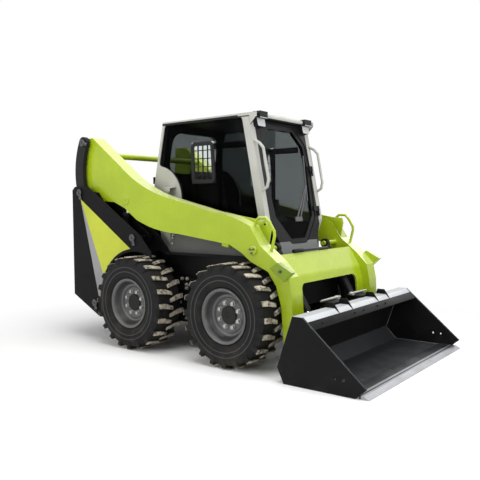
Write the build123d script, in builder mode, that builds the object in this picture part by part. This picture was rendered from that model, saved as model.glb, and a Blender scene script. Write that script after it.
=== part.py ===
from build123d import *
import os
from math import cos, hypot, radians, sin

# A wheeled skid steer loader with a vertical-lift arm, a bucket and an enclosed cab.
# Millimetres. +X is forward, +Y is the operator's left, +Z is up. The origin is on the
# ground below the middle of the machine. Distances along the machine that are called
# x below, and all (x, z) points, are counted from the middle of the wheelbase.

# Wheels, drawn as many-sided rings with one side for each pair of lugs
wheelbase = 1100
tyre_radius = 418
tyre_width = 305
lug_count = 20
rim_sides = 32
lug_depth = 27
lug_crown = 0.6
bead_radius = 206
rim_flange_radius = 222
rim_flange_width = 12
rim_flange_inset = 15
rim_disc_inset = 100
rim_disc_plate = 12
rim_wall = 10
hub_radius = 74
hub_proud = 14
axle_radius = 45
axle_housing_radius = 72
axle_housing_length = 60

# Lateral places, built up from the drive cases outwards
case_half = 548
axle_reach = 200
arm_gap = 32
arm_width = 140
arm_plate = 12
rear_link_gap = 13
rear_link_plate = 40
tower_gap = 17
tower_plate = 12
control_link_gap = 16
control_link_plate = 25
lift_cylinder_offset = 84
tilt_cylinder_y = 400

# Pivots of the loader linkage, seen from the side as (x, z)
rear_link_foot = (-1324, 1419)
rear_link_top = (-1285, 1900)
control_link_foot = (-578, 1000)
control_link_top = (-1310, 1500)
lift_base = (-1121, 358)
lift_rod_end = (-735, 1337)
tilt_base = (727, 935)
tilt_rod_end = (1079, 344)
bucket_pivot = (1060, 195)
pin_radius = 25
small_pin_radius = 22
pin_head = 10
pin_collar = 14

# Clearances
seat_gap = 0.3
pin_gap = 0.06
eye_gap = 2

# Bucket
bucket_half = 930
bucket_side_plate = 18
bucket_shell = 10
bucket_top = 500
bucket_lip_rear = 1225
bucket_lip_front = 1306
bucket_heel = (1093, 117)
bucket_floor_rear = 1200
bucket_side_rear = 1149
bucket_tip = 1815
bucket_nose = 71
edge_depth = 190
edge_plate = 22
edge_bevel = 40
side_bolt_radius = 9
side_bolt_pitch = 70
side_bolt_back = 215
side_bolt_z = 110

# Chassis and rear end
rear_end = -1455
chassis_rear = -1380
chassis_front = 780
case_top = 640
belly = 244
belly_plate = 12
case_width = 148
nose_rise = 180
tail_run = 230
arch_radius = 458
bumper_top = 440
bumper_depth = 120
tie_down_radius = 16
tie_down_plate = 22

# Cab
cab_half = 455
cab_wall = 40
cab_roof_top = 2076
cab_roof_plate = 40
roof_crown = 16
cab_front_top = 482
cab_front_low = (659, 1180)
cab_rear_top = -515
cab_rear_low = (-632, 1483)
cab_back = -560
cab_waist = 1060
cab_heel = -520
cab_foot_z = 1000
cab_shoulder_z = 1150
door_plate = 34
door_gap = 4
door_corner = 70
glass_plate = 6
glass_inset = 10

# Values that follow from the ones above
arm_inner = case_half + arm_gap
arm_outer = arm_inner + arm_width
rear_link_inner = arm_outer + rear_link_gap
rear_link_outer = rear_link_inner + rear_link_plate
tower_outer = rear_link_outer + tower_gap
control_link_inner = arm_inner + control_link_gap
lift_cylinder_y = arm_inner + lift_cylinder_offset
tyre_middle = case_half + axle_reach
mid = -(bucket_tip + rear_end) / 2
hub_height = tyre_radius
axles = (-wheelbase / 2, wheelbase / 2)


os.makedirs("parts", exist_ok=True)


def side(y):
    """The upright plane at y, with x forward and z up, whose normal points to the right."""
    return Plane(origin=(mid, y, 0), x_dir=(1, 0, 0), z_dir=(0, -1, 0))


def bar(point, y_right, y_left, radius, mode=Mode.ADD):
    """A round bar across the machine between two places on Y, centred on an (x, z) point."""
    with BuildSketch(side(y_left)) as disc:
        with Locations(point):
            Circle(radius)
    extrude(disc.sketch, amount=y_left - y_right, mode=mode)


def slab(points, y_right, y_left, mode=Mode.ADD):
    """A plate cut to an outline of (x, z) points between two places on Y."""
    with BuildSketch(side(y_left)) as shape:
        with BuildLine():
            Polyline(*points, close=True)
        make_face()
    extrude(shape.sketch, amount=y_left - y_right, mode=mode)


def block(x, y, z, mode=Mode.ADD):
    """A box between pairs of limits along the three axes."""
    slab([(x[0], z[0]), (x[1], z[0]), (x[1], z[1]), (x[0], z[1])], y[0], y[1], mode)


def post(x, y, z_low, z_high, radius):
    """An upright round bar."""
    with BuildSketch(Plane(origin=(mid + x, y, z_low), z_dir=(0, 0, 1))) as disc:
        Circle(radius)
    extrude(disc.sketch, amount=z_high - z_low)


def toward(start, end, y, distance):
    """The plane across a cylinder's line, a distance from its base pivot towards its rod end."""
    length = hypot(end[0] - start[0], end[1] - start[1])
    way = ((end[0] - start[0]) / length, (end[1] - start[1]) / length)
    origin = (mid + start[0] + way[0] * distance, y, start[1] + way[1] * distance)
    return Plane(origin=origin, x_dir=(0, 1, 0), z_dir=(way[0], 0, way[1]))


def rod(start, end, y, distances, radius, mode=Mode.ADD):
    """A round length along a cylinder's line, between two distances from its base pivot."""
    with BuildSketch(toward(start, end, y, distances[0])) as disc:
        Circle(radius)
    extrude(disc.sketch, amount=distances[1] - distances[0], mode=mode)


def bent_tube(points, y, radius):
    """A round tube along (x, z) points at one place on Y, mitred where it turns."""
    with BuildLine() as path:
        Polyline(*[(mid + x, y, z) for x, z in points])
    run = (points[1][0] - points[0][0], 0, points[1][1] - points[0][1])
    with BuildSketch(Plane(origin=(mid + points[0][0], y, points[0][1]), z_dir=run)) as disc:
        Circle(radius)
    sweep(disc.sketch, path=path.wires()[0], transition=Transition.RIGHT)


def save(piece, name):
    """Labels a finished piece and writes it as its own file."""
    piece.part.label = name
    export_step(piece.part, f"parts/{name}.step")


# Chassis: two drive cases joined by a belly plate, open on top
well_half = case_half - case_width
with BuildPart() as chassis:
    slab(
        [
            (chassis_rear, bumper_top),
            (chassis_rear + tail_run, belly),
            (chassis_front - nose_rise, belly),
            (chassis_front, belly + nose_rise),
            (chassis_front, case_top),
            (chassis_rear, case_top),
        ],
        -case_half,
        case_half,
    )
    block(
        (chassis_rear - 1, chassis_front - belly_plate),
        (-well_half, well_half),
        (belly + belly_plate, case_top + 1),
        Mode.SUBTRACT,
    )
save(chassis, "chassis")

# Axle stubs: a bolted housing and a shaft for each wheel
axle_end = tyre_middle + tyre_width / 2 - rim_disc_inset - rim_disc_plate - seat_gap
with BuildPart() as axle_stubs:
    for axle in axles:
        bar((axle, hub_height), -axle_end, -case_half, axle_radius)
        bar((axle, hub_height), -case_half - axle_housing_length, -case_half, axle_housing_radius)
    mirror(about=Plane.XZ)
save(axle_stubs, "axle_stubs")

# Wheels: the front right tyre and rim are drawn once, about a plane whose normal points out
wheel = Plane(origin=(mid + axles[1], -tyre_middle, hub_height), x_dir=(1, 0, 0), z_dir=(0, -1, 0))
half = tyre_width / 2
flange_face = half - rim_flange_inset
disc_face = half - rim_disc_inset
bead_half = flange_face - rim_flange_width - seat_gap


def ring(stations, sides, mode=Mode.ADD):
    """A many-sided solid through (distance outwards, radius) stations along the wheel's axis."""
    sections = []
    for out, radius in stations:
        with BuildSketch(wheel.offset(out)) as section:
            RegularPolygon(radius, sides)
        sections.append(section.sketch)
    loft(sections, ruled=True, mode=mode)


# The carcass: a flat tread, square shoulders and sidewalls that bulge past the rim
tread_radius = tyre_radius - lug_depth
tread_half = half - 20
shoulder_radius = 330
bead_rise = 6
carcass = [
    (-bead_half, rim_flange_radius + bead_rise),
    (-half, shoulder_radius),
    (-tread_half, tread_radius),
    (tread_half, tread_radius),
    (half, shoulder_radius),
    (bead_half, rim_flange_radius + bead_rise),
]
# One lug, as (distance outwards from the middle, distance round the tread): a slanted bar from
# past the middle to the shoulder, with a flat top.
lug_end = half - 5
lug_start = -18
lug_slant = 26
lug_width = 44
lug_lead = 14 - lug_slant - lug_width / 2
lug_outline = [
    (lug_end, lug_lead),
    (lug_start, lug_lead + lug_slant),
    (lug_start, lug_lead + lug_slant + lug_width),
    (lug_end, lug_lead + lug_width),
]
lug_root = shoulder_radius + 15
with BuildPart() as lugged_tyre:
    ring(carcass, lug_count)
    for outwards in (1, -1):
        for count in range(lug_count):
            angle = radians(360 / lug_count * (count + (1 - outwards) / 4))
            foot = wheel.from_local_coords((lug_root * cos(angle), lug_root * sin(angle), 0))
            radial = foot - wheel.origin
            with BuildSketch(Plane(origin=foot, x_dir=(0, -1, 0), z_dir=tuple(radial))):
                with BuildLine():
                    Polyline(*[(outwards * out, round_by) for out, round_by in lug_outline], close=True)
                make_face()
    extrude(amount=tyre_radius - lug_crown - lug_root)
    bore = bead_radius + seat_gap
    ring([(-half - 1, bore), (half + 1, bore)], rim_sides, Mode.SUBTRACT)

# The rim: a drop-free barrel between two flanges, with a dished disc and a hub cap
barrel_bore = bead_radius - rim_wall
dish_radius = 138
dish_step_radius = 172
dish_step = 18
with BuildPart() as dished_rim:
    ring([(-flange_face, bead_radius), (flange_face, bead_radius)], rim_sides)
    for face in (-flange_face, flange_face - rim_flange_width):
        ring([(face, rim_flange_radius), (face + rim_flange_width, rim_flange_radius)], rim_sides)
    ring(
        [
            (disc_face, dish_radius),
            (disc_face + dish_step, dish_step_radius),
            (flange_face + 1, barrel_bore),
        ],
        rim_sides,
        Mode.SUBTRACT,
    )
    ring(
        [(-flange_face - 1, barrel_bore), (disc_face - rim_disc_plate, barrel_bore - dish_step)],
        rim_sides,
        Mode.SUBTRACT,
    )
    ring([(disc_face - rim_disc_plate, hub_radius), (disc_face + hub_proud, hub_radius)], rim_sides)

corners = {
    "front_right": (axles[1], -1),
    "front_left": (axles[1], 1),
    "rear_right": (axles[0], -1),
    "rear_left": (axles[0], 1),
}
for corner, (axle, way) in corners.items():
    for kind, drawn in (("tyre", lugged_tyre), ("rim", dished_rim)):
        with BuildPart() as placed:
            with Locations((axle - axles[1], 0, 0)):
                add(drawn.part)
            if way > 0:
                mirror(about=Plane.XZ, mode=Mode.REPLACE)
        save(placed, f"{kind}_{corner}")

# Towers: on each side an outer and an inner plate joined by a rear plate, with their pins
tower_rear = rear_end + 15
tower_top = rear_link_foot[1] + 60
tower_front = -346
tower_low = belly - 13
tower_shoulder = 875
tower_inner_face = tower_outer - tower_plate
tower_outline = [
    (-1062, tower_low),
    (tower_rear, bumper_top - 20),
    (tower_rear, tower_top - 34),
    (tower_rear + 40, tower_top),
    (-1210, tower_top),
    (-483, control_link_foot[1] + 21),
    (tower_front, tower_shoulder),
    (tower_front, hub_height),
    (axles[0] - 300, tower_low),
]
with BuildPart() as towers:
    slab(tower_outline, -tower_outer, -tower_inner_face)
    slab(tower_outline, -case_half - tower_plate, -case_half)
    bar((axles[0], hub_height), -tower_outer, -case_half, arch_radius, Mode.SUBTRACT)
    block(
        (tower_rear, tower_rear + tower_plate),
        (-tower_inner_face, -case_half - tower_plate),
        (bumper_top + 60, tower_top - 60),
    )
    bar(rear_link_foot, -tower_outer - pin_head, -rear_link_inner + 6, pin_radius)
    bar(rear_link_foot, -tower_outer - pin_head, -tower_outer, pin_radius + pin_collar)
    for foot in (control_link_foot, lift_base):
        bar(foot, -tower_outer - pin_head, -case_half, small_pin_radius)
        bar(foot, -tower_outer - pin_head, -tower_outer, small_pin_radius + pin_collar)
    mirror(about=Plane.XZ)
save(towers, "towers")

# Rear bumper: the cross beam below the tailgate, with a tie-down lug at each end
bumper_low = bumper_top - bumper_depth + 44
lug_low = bumper_low - 90
lug_y = case_half - 90
lug_x = rear_end + 38
with BuildPart() as rear_bumper:
    slab(
        [
            (rear_end, bumper_low),
            (rear_end, bumper_top),
            (chassis_rear, bumper_top),
            (chassis_rear + 74, bumper_low),
        ],
        -case_half,
        case_half,
    )
    for lug in (-lug_y, lug_y):
        lug_faces = (lug - tie_down_plate / 2, lug + tie_down_plate / 2)
        block((rear_end, rear_end + 80), lug_faces, (lug_low, bumper_low))
        bar((lug_x, lug_low + 40), *lug_faces, tie_down_radius, Mode.SUBTRACT)
save(rear_bumper, "rear_bumper")

# Engine hood: the bent cover between the towers behind the cab
hood_rear_top = 1330
hood_front_top = 1390
hood_front = cab_rear_low[0] - 15
hood_half = case_half - 3
hood_wall = 30
hood_back = tower_rear + 20
hood_bend = 70
gate_hinge_radius = 8
gate_hinge_length = 50
gate_hinge_heights = (720, 1120)
gate_hinge_x = rear_end + gate_hinge_radius
gate_half = hood_half - 40
gate_hinge_y = gate_half + gate_hinge_radius + 2
with BuildPart() as engine_hood:
    slab(
        [
            (hood_back, case_top),
            (hood_back, hood_rear_top - hood_bend),
            (hood_back + hood_bend, hood_rear_top),
            (hood_front, hood_front_top),
            (hood_front, case_top),
        ],
        -hood_half,
        hood_half,
    )
    slab(
        [
            (hood_back - 1, case_top - 1),
            (hood_back - 1, hood_rear_top - hood_bend - hood_wall),
            (hood_back + hood_bend, hood_rear_top - hood_wall),
            (hood_front - hood_wall, hood_front_top - hood_wall),
            (hood_front - hood_wall, case_top - 1),
        ],
        -hood_half + hood_wall,
        hood_half - hood_wall,
        Mode.SUBTRACT,
    )
    for height in gate_hinge_heights:
        low = height - gate_hinge_length - 1
        block((gate_hinge_x, hood_back + 1), (gate_hinge_y, hood_half), (low, height - 1))
        post(gate_hinge_x, gate_hinge_y, low, height - 1, gate_hinge_radius)
save(engine_hood, "engine_hood")

# Engine: one plain block on the belly plate
engine_half = 300
engine_top = 1050
engine_rear = chassis_rear + 130
with BuildPart() as engine_block:
    block((engine_rear, hood_front - 60), (-engine_half, engine_half), (belly + belly_plate, engine_top))
save(engine_block, "engine_block")

# Fenders: the shelf above the wheels on each side
fender_z = 855
fender_plate = 15
fender_outer = case_half + 92
fender_rear = tower_front + 26
fender_front = 640
with BuildPart() as fenders:
    block((fender_rear, fender_front), (-fender_outer, -cab_half), (fender_z, fender_z + fender_plate))
    mirror(about=Plane.XZ)
save(fenders, "fenders")

# Side panels: the upright covers that stand on the fenders under the arms
panel_inner = case_half + 4
panel_plate = 18
panel_top = 1045
panel_front = 560
with BuildPart() as side_panels:
    slab(
        [
            (fender_rear, fender_z + fender_plate),
            (fender_rear, panel_top),
            (panel_front - 160, panel_top),
            (panel_front, panel_top - 60),
            (panel_front, fender_z + fender_plate),
        ],
        -panel_inner - panel_plate,
        -panel_inner,
    )
    mirror(about=Plane.XZ)
save(side_panels, "side_panels")

# Cab side walls, standing on the drive cases, with their windows cut
cab_slope = (cab_front_low[0] - cab_front_top) / (cab_roof_top - cab_front_low[1])
roof_seat = cab_roof_top - cab_roof_plate
cab_inner = cab_half - cab_wall


def front_x(z):
    """Where the cab's leaning front is at a height above the ground."""
    return cab_front_low[0] + cab_slope * (cab_front_low[1] - z)


cab_side_outline = [
    (front_x(roof_seat), roof_seat),
    (front_x(cab_shoulder_z), cab_shoulder_z),
    (front_x(cab_shoulder_z) - 60, cab_foot_z),
    (front_x(cab_shoulder_z) - 90, case_top),
    (cab_heel, case_top),
    (cab_back, cab_waist),
    cab_rear_low,
    (cab_rear_top, roof_seat),
]
# The side window hangs below the roof, with an arc round the rear quarter panel
pillar = 72
rear_post = 24
window_top = roof_seat - 8
window_drop = 910
quarter_drop = 376
quarter_end = (-298, roof_seat - 750)
quarter_middle = (-362, roof_seat - 484)
window_corner = 30
window_front_low = (front_x(roof_seat - window_drop) - pillar, roof_seat - window_drop)
rear_lean = (cab_rear_top - cab_rear_low[0]) / (roof_seat - cab_rear_low[1])
window_rear_low = (cab_rear_top + rear_post - rear_lean * quarter_drop, roof_seat - quarter_drop)


def window_sketch(y, shrink):
    """The cab's side window on the plane at y, drawn in by a distance all round."""
    with BuildSketch(side(y)) as pane:
        with BuildLine():
            Polyline(
                quarter_end,
                window_front_low,
                (front_x(window_top) - pillar, window_top),
                (cab_rear_top + rear_post, window_top),
                window_rear_low,
            )
            ThreePointArc(window_rear_low, quarter_middle, quarter_end)
        make_face()
        fillet(pane.vertices(), radius=window_corner)
        if shrink:
            offset(amount=-shrink)
    return pane.sketch


with BuildPart() as cab_sides:
    slab(cab_side_outline, -cab_half, -cab_inner)
    extrude(window_sketch(-cab_inner, 0), amount=cab_wall, mode=Mode.SUBTRACT)
    mirror(about=Plane.XZ)
save(cab_sides, "cab_sides")

glass_face = cab_half - glass_inset
with BuildPart() as side_glass:
    extrude(window_sketch(-glass_face + glass_plate, seat_gap), amount=glass_plate)
    mirror(about=Plane.XZ)
save(side_glass, "side_glass")

# Window guards: a welded grid in a rounded frame on the outside of each side window
guard_outline = [(-150, 1484), (126, 1484), (100, 1850), (-162, 1850)]
guard_corner = 48
guard_frame = 34
guard_bar = 7
guard_plate = 12
guard_pitch = (56, 72)
guard_middle = (-22, 1667)
with BuildPart() as window_guards:
    with BuildSketch(side(-glass_face - seat_gap)) as grid:
        with Locations(guard_middle):
            with GridLocations(guard_pitch[0], 1, 3, 1):
                Rectangle(guard_bar, 5 * guard_pitch[1])
            with GridLocations(1, guard_pitch[1], 1, 4):
                Rectangle(5 * guard_pitch[0], guard_bar)
        with BuildSketch(mode=Mode.PRIVATE) as frame_outside:
            with BuildLine():
                Polyline(*guard_outline, close=True)
            make_face()
            fillet(frame_outside.vertices(), radius=guard_corner)
        with BuildSketch(mode=Mode.PRIVATE) as frame_inside:
            add(frame_outside.sketch)
            offset(amount=-guard_frame)
        add(frame_outside.sketch, mode=Mode.INTERSECT)
        with BuildSketch(mode=Mode.PRIVATE) as frame_band:
            add(frame_outside.sketch)
            add(frame_inside.sketch, mode=Mode.SUBTRACT)
        add(frame_band.sketch)
    extrude(amount=guard_plate)
    mirror(about=Plane.XZ)
save(window_guards, "window_guards")

# Cab rear wall between the side walls, with its window
rear_wall_plate = 40
rear_window = (660, 380)
rear_window_corner = 110
rear_window_z = roof_seat - 246
rear_wall_front = [
    (cab_rear_top, roof_seat),
    cab_rear_low,
    (cab_back, cab_waist),
    (cab_heel, case_top),
]
rear_view = Plane(origin=(mid + cab_rear_low[0] - 100, 0, rear_window_z), x_dir=(0, 1, 0), z_dir=(1, 0, 0))
rear_reach = 400
with BuildPart() as cab_rear_wall:
    slab(
        rear_wall_front + [(x + rear_wall_plate, z) for x, z in reversed(rear_wall_front)],
        -cab_inner,
        cab_inner,
    )
    with BuildSketch(rear_view):
        RectangleRounded(*rear_window, rear_window_corner)
    extrude(amount=rear_reach, mode=Mode.SUBTRACT)
save(cab_rear_wall, "cab_rear_wall")

pane_low = rear_window_z - rear_window[1] / 2 + seat_gap
pane_high = rear_window_z + rear_window[1] / 2 - seat_gap
pane_half = rear_window[0] / 2 - seat_gap


def rear_x(z):
    """Where the outer face of the rear glass is at a height above the ground."""
    return cab_rear_low[0] + rear_lean * (z - cab_rear_low[1]) + glass_inset


with BuildPart() as rear_glass:
    slab(
        [
            (rear_x(pane_low), pane_low),
            (rear_x(pane_low) + glass_plate, pane_low),
            (rear_x(pane_high) + glass_plate, pane_high),
            (rear_x(pane_high), pane_high),
        ],
        -pane_half,
        pane_half,
    )
    with BuildSketch(rear_view):
        RectangleRounded(2 * pane_half, pane_high - pane_low, rear_window_corner)
    extrude(amount=rear_reach, mode=Mode.INTERSECT)
save(rear_glass, "rear_glass")

# Cab roof: a crowned cap on the walls with a round visor bar and a cheek at each front corner
visor_radius = 26
visor_out = 32
visor_half = 295
cheek_reach = 76
cheek_drop = 75
cheek_plate = 12
roof_edge = cab_roof_plate - roof_crown
visor = (front_x(roof_seat) + visor_out, roof_seat + 6)
with BuildPart() as cab_roof:
    with BuildSketch(Plane(origin=(mid + cab_rear_top, 0, roof_seat), x_dir=(0, 1, 0), z_dir=(1, 0, 0))):
        with BuildLine():
            Line((-cab_half, 0), (cab_half, 0))
            Line((cab_half, 0), (cab_half, roof_edge))
            ThreePointArc((cab_half, roof_edge), (0, cab_roof_plate), (-cab_half, roof_edge))
            Line((-cab_half, roof_edge), (-cab_half, 0))
        make_face()
    extrude(amount=front_x(roof_seat) + visor_out - visor_radius + 4 - cab_rear_top)
    bar(visor, -visor_half, visor_half, visor_radius)
    for edge in (-cab_half, cab_half - cheek_plate):
        slab(
            [
                (front_x(roof_seat) + 1, roof_seat + roof_edge),
                (front_x(roof_seat) + cheek_reach, roof_seat + roof_edge),
                (front_x(roof_seat) + cheek_reach, roof_seat - 14),
                (front_x(roof_seat - cheek_drop) + 1, roof_seat - cheek_drop),
            ],
            edge,
            edge + cheek_plate,
        )
save(cab_roof, "cab_roof")

# Cab front: the leaning frame round the door
front_up = Vector(-cab_slope, 0, 1).normalized()
front_out = Vector(1, 0, cab_slope).normalized()
front_plane = Plane(
    origin=(mid + cab_front_low[0], 0, cab_front_low[1]),
    x_dir=(0, 1, 0),
    z_dir=tuple(front_out),
)
front_plate = 45


def slope_z(z):
    """Distance up the leaning front at a height above the ground."""
    return (z - cab_front_low[1]) / front_up.Z


door_low = 955
door_half_low = 130
door_knee = (336, 1175)
door_elbow = (384, roof_seat - 396)
door_head = (362, roof_seat - 196)
door_top = (205, roof_seat - 44)
door_right_side = [door_knee, door_elbow, door_head, door_top]
door_outline = [(door_half_low, slope_z(door_low))]
door_outline += [(y, slope_z(z)) for y, z in door_right_side]
door_outline += [(-y, slope) for y, slope in reversed(door_outline)]


def door_sketch(depth, grow):
    """The door's outline, a depth behind the front's face, larger by a distance all round."""
    with BuildSketch(front_plane.offset(-depth)) as leaf:
        with BuildLine():
            Polyline(*door_outline, close=True)
        make_face()
        fillet(leaf.vertices(), radius=door_corner)
        if grow:
            offset(amount=grow)
    return leaf.sketch


apron_half = 300
apron_low = 760
apron_top = 960
jaw = (345, 1045)
hinge_y = 396
hinge_out = 12
hinge_radius = 10
hinge_length = 45
hinge_heights = (1230, 1600)
frame_side = [
    (cab_inner, roof_seat),
    (cab_inner, cab_shoulder_z),
    jaw,
    (apron_half, apron_top),
    (apron_half, apron_low),
]
frame_outline = [(y, slope_z(z)) for y, z in frame_side]
frame_outline += [(-y, slope) for y, slope in reversed(frame_outline)]
with BuildPart() as cab_front_frame:
    with BuildSketch(front_plane):
        with BuildLine():
            Polyline(*frame_outline, close=True)
        make_face()
    extrude(amount=-front_plate)
    block(
        (front_x(roof_seat) - 200, front_x(roof_seat) + 200),
        (-cab_half, cab_half),
        (roof_seat, roof_seat + 100),
        Mode.SUBTRACT,
    )
    extrude(door_sketch(front_plate, door_gap), amount=front_plate, mode=Mode.SUBTRACT)
    for height in hinge_heights:
        knuckle_foot = (hinge_y, slope_z(height) - hinge_length - 1, hinge_out)
        with BuildSketch(Plane(
            origin=front_plane.from_local_coords(knuckle_foot),
            x_dir=(0, 1, 0),
            z_dir=tuple(front_up),
        )):
            Circle(hinge_radius)
            with Locations((hinge_radius / 2, hinge_out - 4)):
                Rectangle(hinge_radius, hinge_out + 8)
        extrude(amount=hinge_length)
save(cab_front_frame, "cab_front_frame")

# Cab floor: the tread plate and the toe board up to the front frame
floor_plate = 15
floor_front = 610
toe_back = front_plane.from_local_coords((0, slope_z(apron_low), -front_plate))
toe_face = front_plane.from_local_coords((0, slope_z(apron_low), 0))
with BuildPart() as cab_floor:
    block(
        (cab_heel + rear_wall_plate, floor_front),
        (-cab_inner, cab_inner),
        (case_top, case_top + floor_plate),
    )
    slab(
        [
            (floor_front - 40, case_top),
            (toe_back.X - mid, toe_back.Z),
            (toe_face.X - mid, toe_face.Z),
            (floor_front + 60, case_top),
        ],
        -cab_inner,
        cab_inner,
    )
save(cab_floor, "cab_floor")

# Cab door: a leaf with a big window, hinged on the operator's left
door_inset = 6
door_rail = 42
strap_foot = 12
strap_plate = 5
edge_lean = (door_elbow[0] - door_knee[0]) / (door_elbow[1] - door_knee[1])
with BuildPart() as cab_door:
    extrude(door_sketch(door_inset + door_plate, 0), amount=door_plate)
    extrude(door_sketch(door_inset + door_plate, -door_rail), amount=door_plate, mode=Mode.SUBTRACT)
    for height in hinge_heights:
        door_edge = door_knee[0] + edge_lean * (height - door_knee[1])
        strap = hinge_y - door_edge + door_rail / 2
        with BuildSketch(Plane(
            origin=front_plane.from_local_coords((hinge_y, slope_z(height), hinge_out)),
            x_dir=(0, 1, 0),
            z_dir=tuple(front_up),
        )):
            Circle(hinge_radius)
            with Locations((-strap / 2, 0)):
                Rectangle(strap, strap_plate)
        extrude(amount=hinge_length)
        with BuildSketch(front_plane.offset(-door_inset - strap_plate)):
            with Locations((hinge_y - strap + strap_foot / 2, slope_z(height) + hinge_length / 2)):
                Rectangle(strap_foot, hinge_length)
        extrude(amount=door_inset + strap_plate + hinge_out)
save(cab_door, "cab_door")

glass_depth = door_inset + door_plate / 2
with BuildPart() as door_glass:
    extrude(door_sketch(glass_depth, -door_rail - seat_gap), amount=glass_plate)
save(door_glass, "door_glass")

# Wiper: a motor cap at the foot of the door, two arms and a blade parked by the hinges
wiper_foot = (66, slope_z(1165))
wiper_joint = (276, slope_z(1462))
blade_ends = ((262, slope_z(1330)), (318, slope_z(1740)))
arm_spread = 26
wiper_bar = 12
wiper_plate = 10
wiper_cap = (110, 40)
with BuildPart() as wiper:
    with BuildSketch(front_plane.offset(glass_plate + seat_gap - glass_depth)) as wiper_shape:
        with Locations(wiper_foot):
            Rectangle(*wiper_cap)
        for shift in (-arm_spread, arm_spread):
            with BuildLine(mode=Mode.PRIVATE) as arm_line:
                Line((wiper_foot[0] + shift, wiper_foot[1]), (wiper_joint[0] + shift / 3, wiper_joint[1]))
            SlotCenterPoint(arm_line.line @ 0.5, arm_line.line @ 1, wiper_bar)
        with BuildLine(mode=Mode.PRIVATE) as blade_line:
            Line(*blade_ends)
        SlotCenterPoint(blade_line.line @ 0.5, blade_line.line @ 1, wiper_bar)
    extrude(amount=wiper_plate)
save(wiper, "wiper")

# Seat and controls
seat_low = 930
seat_high = 1040
seat_rear = -330
seat_front = 150
seat_half = 230
with BuildPart() as seat_base:
    block((seat_rear, seat_front - 60), (20 - seat_half, seat_half - 20), (case_top + floor_plate, seat_low))
save(seat_base, "seat_base")

with BuildPart() as seat_cushion:
    block((seat_rear + 10, seat_front), (-seat_half, seat_half), (seat_low + seat_gap, seat_high))
    fillet(seat_cushion.edges().filter_by(Axis.Z), radius=50)
save(seat_cushion, "seat_cushion")

back_top = 1640
back_plate = 130
back_lean = 110
with BuildPart() as seat_back:
    slab(
        [
            (seat_rear, seat_high + seat_gap),
            (seat_rear + back_plate, seat_high + seat_gap),
            (seat_rear, back_top),
            (seat_rear - back_lean, back_top),
        ],
        10 - seat_half,
        seat_half - 10,
    )
save(seat_back, "seat_back")

console_half = 70
console_y = cab_inner - console_half - 6
console_top = 1190
console_rear = -250
console_front = 250
lever_x = 230
lever_radius = 18
lever_length = 150
with BuildPart() as control_consoles:
    for console in (-console_y, console_y):
        slab(
            [
                (console_rear, case_top + floor_plate),
                (console_rear, console_top),
                (console_front, console_top),
                (console_front + 80, console_top - 60),
                (console_front - 50, case_top + floor_plate),
            ],
            console - console_half,
            console + console_half,
        )
        post(lever_x, console, console_top - 5, console_top + lever_length, lever_radius)
save(control_consoles, "control_consoles")

# Work lights on the front's upper corners, each under a bracket on the roof's edge
lamp_y = 352
lamp_size = (110, 94)
lamp_depth = 45
lamp_corner = 16
lamp_z = roof_seat - 50
bracket_low = roof_seat + 1
bracket_reach = 84
with BuildPart() as work_lights:
    with BuildSketch(front_plane):
        with Locations((-lamp_y, slope_z(lamp_z)), (lamp_y, slope_z(lamp_z))):
            RectangleRounded(*lamp_size, lamp_corner)
    extrude(amount=lamp_depth)
    for lamp in (-lamp_y, lamp_y):
        block(
            (front_x(roof_seat) + visor_out - visor_radius + 4.3, front_x(roof_seat) + bracket_reach),
            (lamp - lamp_size[0] / 2, lamp + lamp_size[0] / 2),
            (lamp_z + 30, cab_roof_top - 4),
        )
save(work_lights, "work_lights")

# Grab handles on the cab's front corners
handle_radius = 12
handle_y = cab_half - cab_wall / 2
handle_path = [
    (front_x(1835) - 10, 1839),
    (590, 1800),
    (625, 1762),
    (676, 1500),
    (664, 1440),
    (front_x(1406) - 10, 1402),
]
with BuildPart() as cab_handles:
    bent_tube(handle_path, -handle_y, handle_radius)
    split(bisect_by=front_plane, keep=Keep.TOP)
    mirror(about=Plane.XZ)
save(cab_handles, "cab_handles")

# Rear links: the short curved pair that carry the back of the arm
rear_link_half = 58
rear_link_bow = 45
with BuildPart() as rear_links:
    with BuildSketch(side(-rear_link_inner)):
        with BuildLine():
            bow = (
                (rear_link_foot[0] + rear_link_top[0]) / 2 - rear_link_bow,
                (rear_link_foot[1] + rear_link_top[1]) / 2,
            )
            spine = ThreePointArc(rear_link_foot, bow, rear_link_top)
        SlotArc(spine, 2 * rear_link_half)
        with Locations(rear_link_foot, rear_link_top):
            Circle(pin_radius + pin_gap, mode=Mode.SUBTRACT)
    extrude(amount=rear_link_outer - rear_link_inner)
    mirror(about=Plane.XZ)
save(rear_links, "rear_links")

# Control links: the straight pair from the towers' front to the back of the arm
control_link_half = 40
control_link_outer = control_link_inner + control_link_plate
with BuildPart() as control_links:
    link_middle = (
        (control_link_foot[0] + control_link_top[0]) / 2,
        (control_link_foot[1] + control_link_top[1]) / 2,
    )
    with BuildSketch(side(-control_link_inner)):
        SlotCenterPoint(link_middle, control_link_top, 2 * control_link_half)
        with Locations(control_link_foot):
            Circle(small_pin_radius + pin_gap, mode=Mode.SUBTRACT)
    extrude(amount=control_link_plate)
    bar(control_link_top, -arm_outer + arm_plate + eye_gap, -control_link_outer, small_pin_radius)
    mirror(about=Plane.XZ)
save(control_links, "control_links")

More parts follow.
